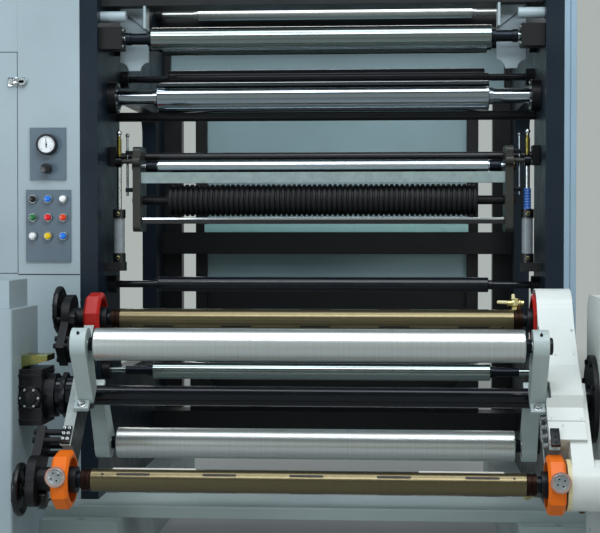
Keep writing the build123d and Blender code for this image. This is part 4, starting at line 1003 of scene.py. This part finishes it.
class WINDER_OT_fittings(bpy.types.Operator):
    """Add the air fittings, the bearing caps and the adjusting rods of the press arm"""
    bl_idname = "winder.fittings"
    bl_label = "Press Arm Fittings"

    def execute(self, context):
        y = axis_of("air_cylinders")[0]
        fittings, ports, boot, caps, rods, clips, edge_highlight, strip = open_meshes(8)
        for side in SIDES:
            for z in (1026, 1171):
                place = facing((side * CYLINDER_X, y - 20.6, z), (0, -1, 0))
                add_hex_bolt(fittings, place, 12, 8)
                spun(ports, [(8, 4.5), (16, 4.5), (17, 3.5), (17, 0)], place, 20)
        make_piece(fittings, "cylinder_fittings", "brass", "machine_frame")
        make_piece(ports, "cylinder_ports", "port_black", "machine_frame")

        folds = [(1186.2, 8.8), (1186.2, 13)]
        for fold in range(7):
            folds += [(1190 + fold * 9, 12.6), (1194.5 + fold * 9, 10.6)]
        folds += [(1252, 12), (1254, 11), (1254, 8.8)]
        spun(boot, folds, Matrix.Translation(world(CYLINDER_X, y, 0)), 32)
        make_piece(boot, "rod_boot", "boot_blue", "machine_frame")

        for side, body in zip(SIDES, ("left_cylinder_rod", "right_cylinder_rod")):
            bm = bmesh.new()
            spun(bm, [(1368, 6.2), (1368, 7), (1369, 8), (1419, 8), (1420, 7), (1420, 6.2)],
                 Matrix.Translation(world(side * CYLINDER_X, y, 0)), 28)
            make_piece(bm, body + "_sleeve", "rod_brass", body)

        for side in SIDES:
            for node in ("press_steel_roller", "press_rubber_roller"):
                spun(caps, [(0.2, 0), (0.2, 21), (7, 21), (9, 19), (9, 13), (11, 12), (11, 0)],
                     along_x(side * PRESS_ARM_OUTER, *axis_of(node), side), 40)
            spun(rods, [(1232, 0), (1232, 3), (1233, 4), (1428, 4), (1429.5, 6), (1433, 7), (1437, 6.6), (1440, 4),
                        (1441, 0)], Matrix.Translation(world(side * PRESS_ROD_X, PRESS_ROD_Y, 0)), 20)
            low, high = sorted((side * (PRESS_ARM_OUTER + 0.3), side * (PRESS_ROD_X + 6)))
            for z in (1252, 1376):
                add_box(clips, (low, PRESS_ROD_Y - 7, z - 7), (high, PRESS_ROD_Y + 7, z + 7), 1.5)
        # a bright polished strip along the knife bar's top edge, put there as a painted highlight line
        add_box(edge_highlight, (-602, -559.2, 1152), (602, -557.4, 1159.6), 0.3)
        add_box(strip, (-545, 591, 1113.2), (545, 597, 1146), 1)
        make_piece(edge_highlight, "knife_bar_highlight_strip", "polished_steel", "press_arm")
        make_piece(strip, "cross_bar_strip", "strip_enamel", "machine_frame")
        make_piece(caps, "press_bearing_caps", "bronze_cap", "press_arm")
        make_piece(rods, "press_adjusting_rods", "hard_chrome", "press_arm")
        make_piece(clips, "adjusting_rod_clips", "black_steel", "press_arm")
        return {"FINISHED"}


class WINDER_OT_cover_trim(bpy.types.Operator):
    """Add the rings, the seam, the clips and the screws of the gear cover"""
    bl_idname = "winder.cover_trim"
    bl_label = "Cover Trim"

    def execute(self, context):
        rings, clips, seams, screws = open_meshes(4)
        for sign in SIDES:
            spun(rings, [(-1.5, 64), (-1.5, 69), (-0.5, 70.8), (10, 70.8), (10, 70.1)],
                 along_x(*turret_point(708, sign * AIR_ORBIT, 0)), 72)
            turret_block(seams, 664.4, 766.8, -sign * 142, 1.8, sign * 80, 0.7, 0)
            for x, along in ((672, 132), (758, 132), (704, 158), (758, -97), (704, -97), (758, -190)):
                place = facing(turret_point(x, -sign * along, sign * 79.8), turret_direction(0, sign))
                add_socket_screw(screws, place, 4.2, 1.8)
            # a clip of two layers, under the front hood and, turned round, over the rear one
            for reach, width, length in ((71.6, 16, 24), (74.4, 9, 14)):
                offset = -reach * cos(TILT)
                spot = turret_point(750, -sign * (AIR_ORBIT - offset), sign * offset)
                add_block(clips, Matrix.Translation(world(*spot)), (width, length, 3.2))
        make_piece(clips, "cover_clips", "bronze_cap", "turret")
        make_piece(rings, "cover_rings", "cream_plastic", "turret")
        make_piece(seams, "cover_seams", "seam_shadow", "turret")
        make_piece(screws, "cover_screws", "bolt_zinc", "turret")
        return {"FINISHED"}


# Stage

BACKDROP = "#abb2af"
# name, place, target, size in m, share of the key light's power, colour
LAMPS = (
    ("key_light", (0.4, -3.6, 3.9), (0.0, -0.9, 0.9), (3.6, 0.9), 1.0, "#f4f8ff"),
    ("tube_light", (0.0, -1.7, 3.5), (0.0, -1.2, 0.6), (3.2, 0.8), 0.4, "#f2f8ff"),
    ("left_fill", (-3.0, -4.2, 1.2), (-0.9, -1.1, 0.8), (1.4, 1.6), 0.55, "#f2f6ff"),
    ("right_fill", (3.2, -3.8, 1.6), (0.8, -1.1, 0.8), (1.4, 1.8), 0.25, "#fffaf2"),
    ("back_fill", (-0.5, 3.6, 3.2), (0.0, 0.5, 1.0), (3.0, 1.0), 0.5, "#ffffff"),
)


def seen(tree):
    """1 for what the camera, metal or glass sees, 0 for the light that falls on the object."""
    path = add_node(tree, "LightPath").outputs
    first = add_node(tree, "Math", {0: path["Is Camera Ray"], 1: path["Is Glossy Ray"]}, operation="MAXIMUM")
    return add_node(tree, "Math", {0: first, 1: path["Is Transmission Ray"]}, operation="MAXIMUM")


def studio_floor():
    """Pale floor that takes the object's shadow and fades into the backdrop from 3.5 to 9 m away."""
    material, tree, coords = start_material("studio_floor")
    cloud = add_node(tree, "TexNoise", {"Vector": coords, "Scale": METRE / 900, "Detail": 3})
    shader = add_node(tree, "BsdfPrincipled", {
        "Roughness": 0.75, "Base Color": blend(tree, cloud, 0, 1, linear("#a0a5a4"), linear("#a9aead"))})
    away = add_node(tree, "VectorMath", {0: coords}, operation="LENGTH")
    far = add_node(tree, "MapRange", {0: away, 1: 3.5, 2: 9})
    glow = add_node(tree, "Emission", {"Color": linear(BACKDROP), "Strength": 1})
    share = add_node(tree, "Math", {0: far, 1: seen(tree)}, operation="MULTIPLY")
    add_node(tree, "OutputMaterial", {
        "Surface": add_node(tree, "MixShader", {0: share, 1: shader, 2: glow})})
    return material


class WINDER_OT_stage(bpy.types.Operator):
    """Set the floor, the lamps and the camera"""
    bl_idname = "winder.stage"
    bl_label = "Stage"

    def execute(self, context):
        scene = context.scene
        stage = scene.winder_stage
        scene.view_settings.view_transform = "Standard"

        bm = bmesh.new()
        bmesh.ops.create_grid(bm, x_segments=2, y_segments=2, size=30.0)
        mesh = bpy.data.meshes.new("floor")
        bm.to_mesh(mesh)
        bm.free()
        mesh.materials.append(studio_floor())
        floor = bpy.data.objects.new("floor", mesh)
        scene.collection.objects.link(floor)

        scene.world = bpy.data.worlds.new("studio")
        scene.world.use_nodes = True
        tree = scene.world.node_tree
        tree.nodes.clear()
        direction = add_node(tree, "TexCoord").outputs["Generated"]
        rise = add_node(tree, "SeparateXYZ", {0: direction}).outputs[2]
        shown = blend(tree, rise, 0.2, 0.5, linear(BACKDROP), linear("#5a6266"))
        soft = add_node(tree, "Background", {"Color": linear("#dfe6ea"), "Strength": stage.room_light})
        pale = add_node(tree, "Background", {"Color": shown, "Strength": 1})
        add_node(tree, "OutputWorld", {
            "Surface": add_node(tree, "MixShader", {0: seen(tree), 1: soft, 2: pale})})

        for name, place, target, size, share, colour in LAMPS:
            data = bpy.data.lights.new(name, "AREA")
            data.shape = "RECTANGLE"
            data.size, data.size_y = size
            data.energy = stage.key_power * share
            data.color = linear(colour)[:3]
            light = bpy.data.objects.new(name, data)
            scene.collection.objects.link(light)
            light.location = place
            light.rotation_euler = (Vector(target) - Vector(place)).to_track_quat("-Z", "Y").to_euler()

        data = bpy.data.cameras.new("photo_camera")
        data.sensor_width = 36.0
        data.lens = stage.lens
        data.clip_end = 100.0
        camera = bpy.data.objects.new("photo_camera", data)
        scene.collection.objects.link(camera)
        camera.location = CAMERA_PLACE
        camera.rotation_euler = [radians(turn) for turn in CAMERA_TURN]
        scene.camera = camera
        return {"FINISHED"}


class WINDER_PT_panel(bpy.types.Panel):
    """Lists the pieces of the winder"""
    bl_idname = "WINDER_PT_panel"
    bl_label = "Turret Winder"
    bl_space_type = "VIEW_3D"
    bl_region_type = "UI"
    bl_category = "Winder"

    def draw(self, context):
        for group in (getattr(context.scene, name) for name in GROUPS):
            for name in group.bl_rna.properties.keys():
                if name not in ("rna_type", "name"):
                    self.layout.prop(group, name)
        for operator in OPERATORS:
            self.layout.operator(operator.bl_idname)


GROUPS = {"winder_rollers": WinderRollers, "winder_colours": WinderColours, "winder_stage": WinderStage}
OPERATORS = (
    WINDER_OT_finishes, WINDER_OT_frame_rollers, WINDER_OT_press_rollers, WINDER_OT_guide_rollers,
    WINDER_OT_air_shafts, WINDER_OT_chucks, WINDER_OT_handwheels, WINDER_OT_turret_bolts, WINDER_OT_frame_bolts,
    WINDER_OT_outer_faces, WINDER_OT_gauge, WINDER_OT_buttons, WINDER_OT_latch, WINDER_OT_fittings,
    WINDER_OT_cover_trim, WINDER_OT_stage,
)
CLASSES = (*GROUPS.values(), *OPERATORS, WINDER_PT_panel)


def register():
    for cls in CLASSES:
        bpy.utils.register_class(cls)
    for name, group in GROUPS.items():
        setattr(bpy.types.Scene, name, PointerProperty(type=group))


def unregister():
    for name in GROUPS:
        delattr(bpy.types.Scene, name)
    for cls in reversed(CLASSES):
        bpy.utils.unregister_class(cls)


def main():
    register()
    for operator in OPERATORS:
        getattr(bpy.ops.winder, operator.bl_idname.split(".")[1])()


if __name__ == "__main__":
    main()
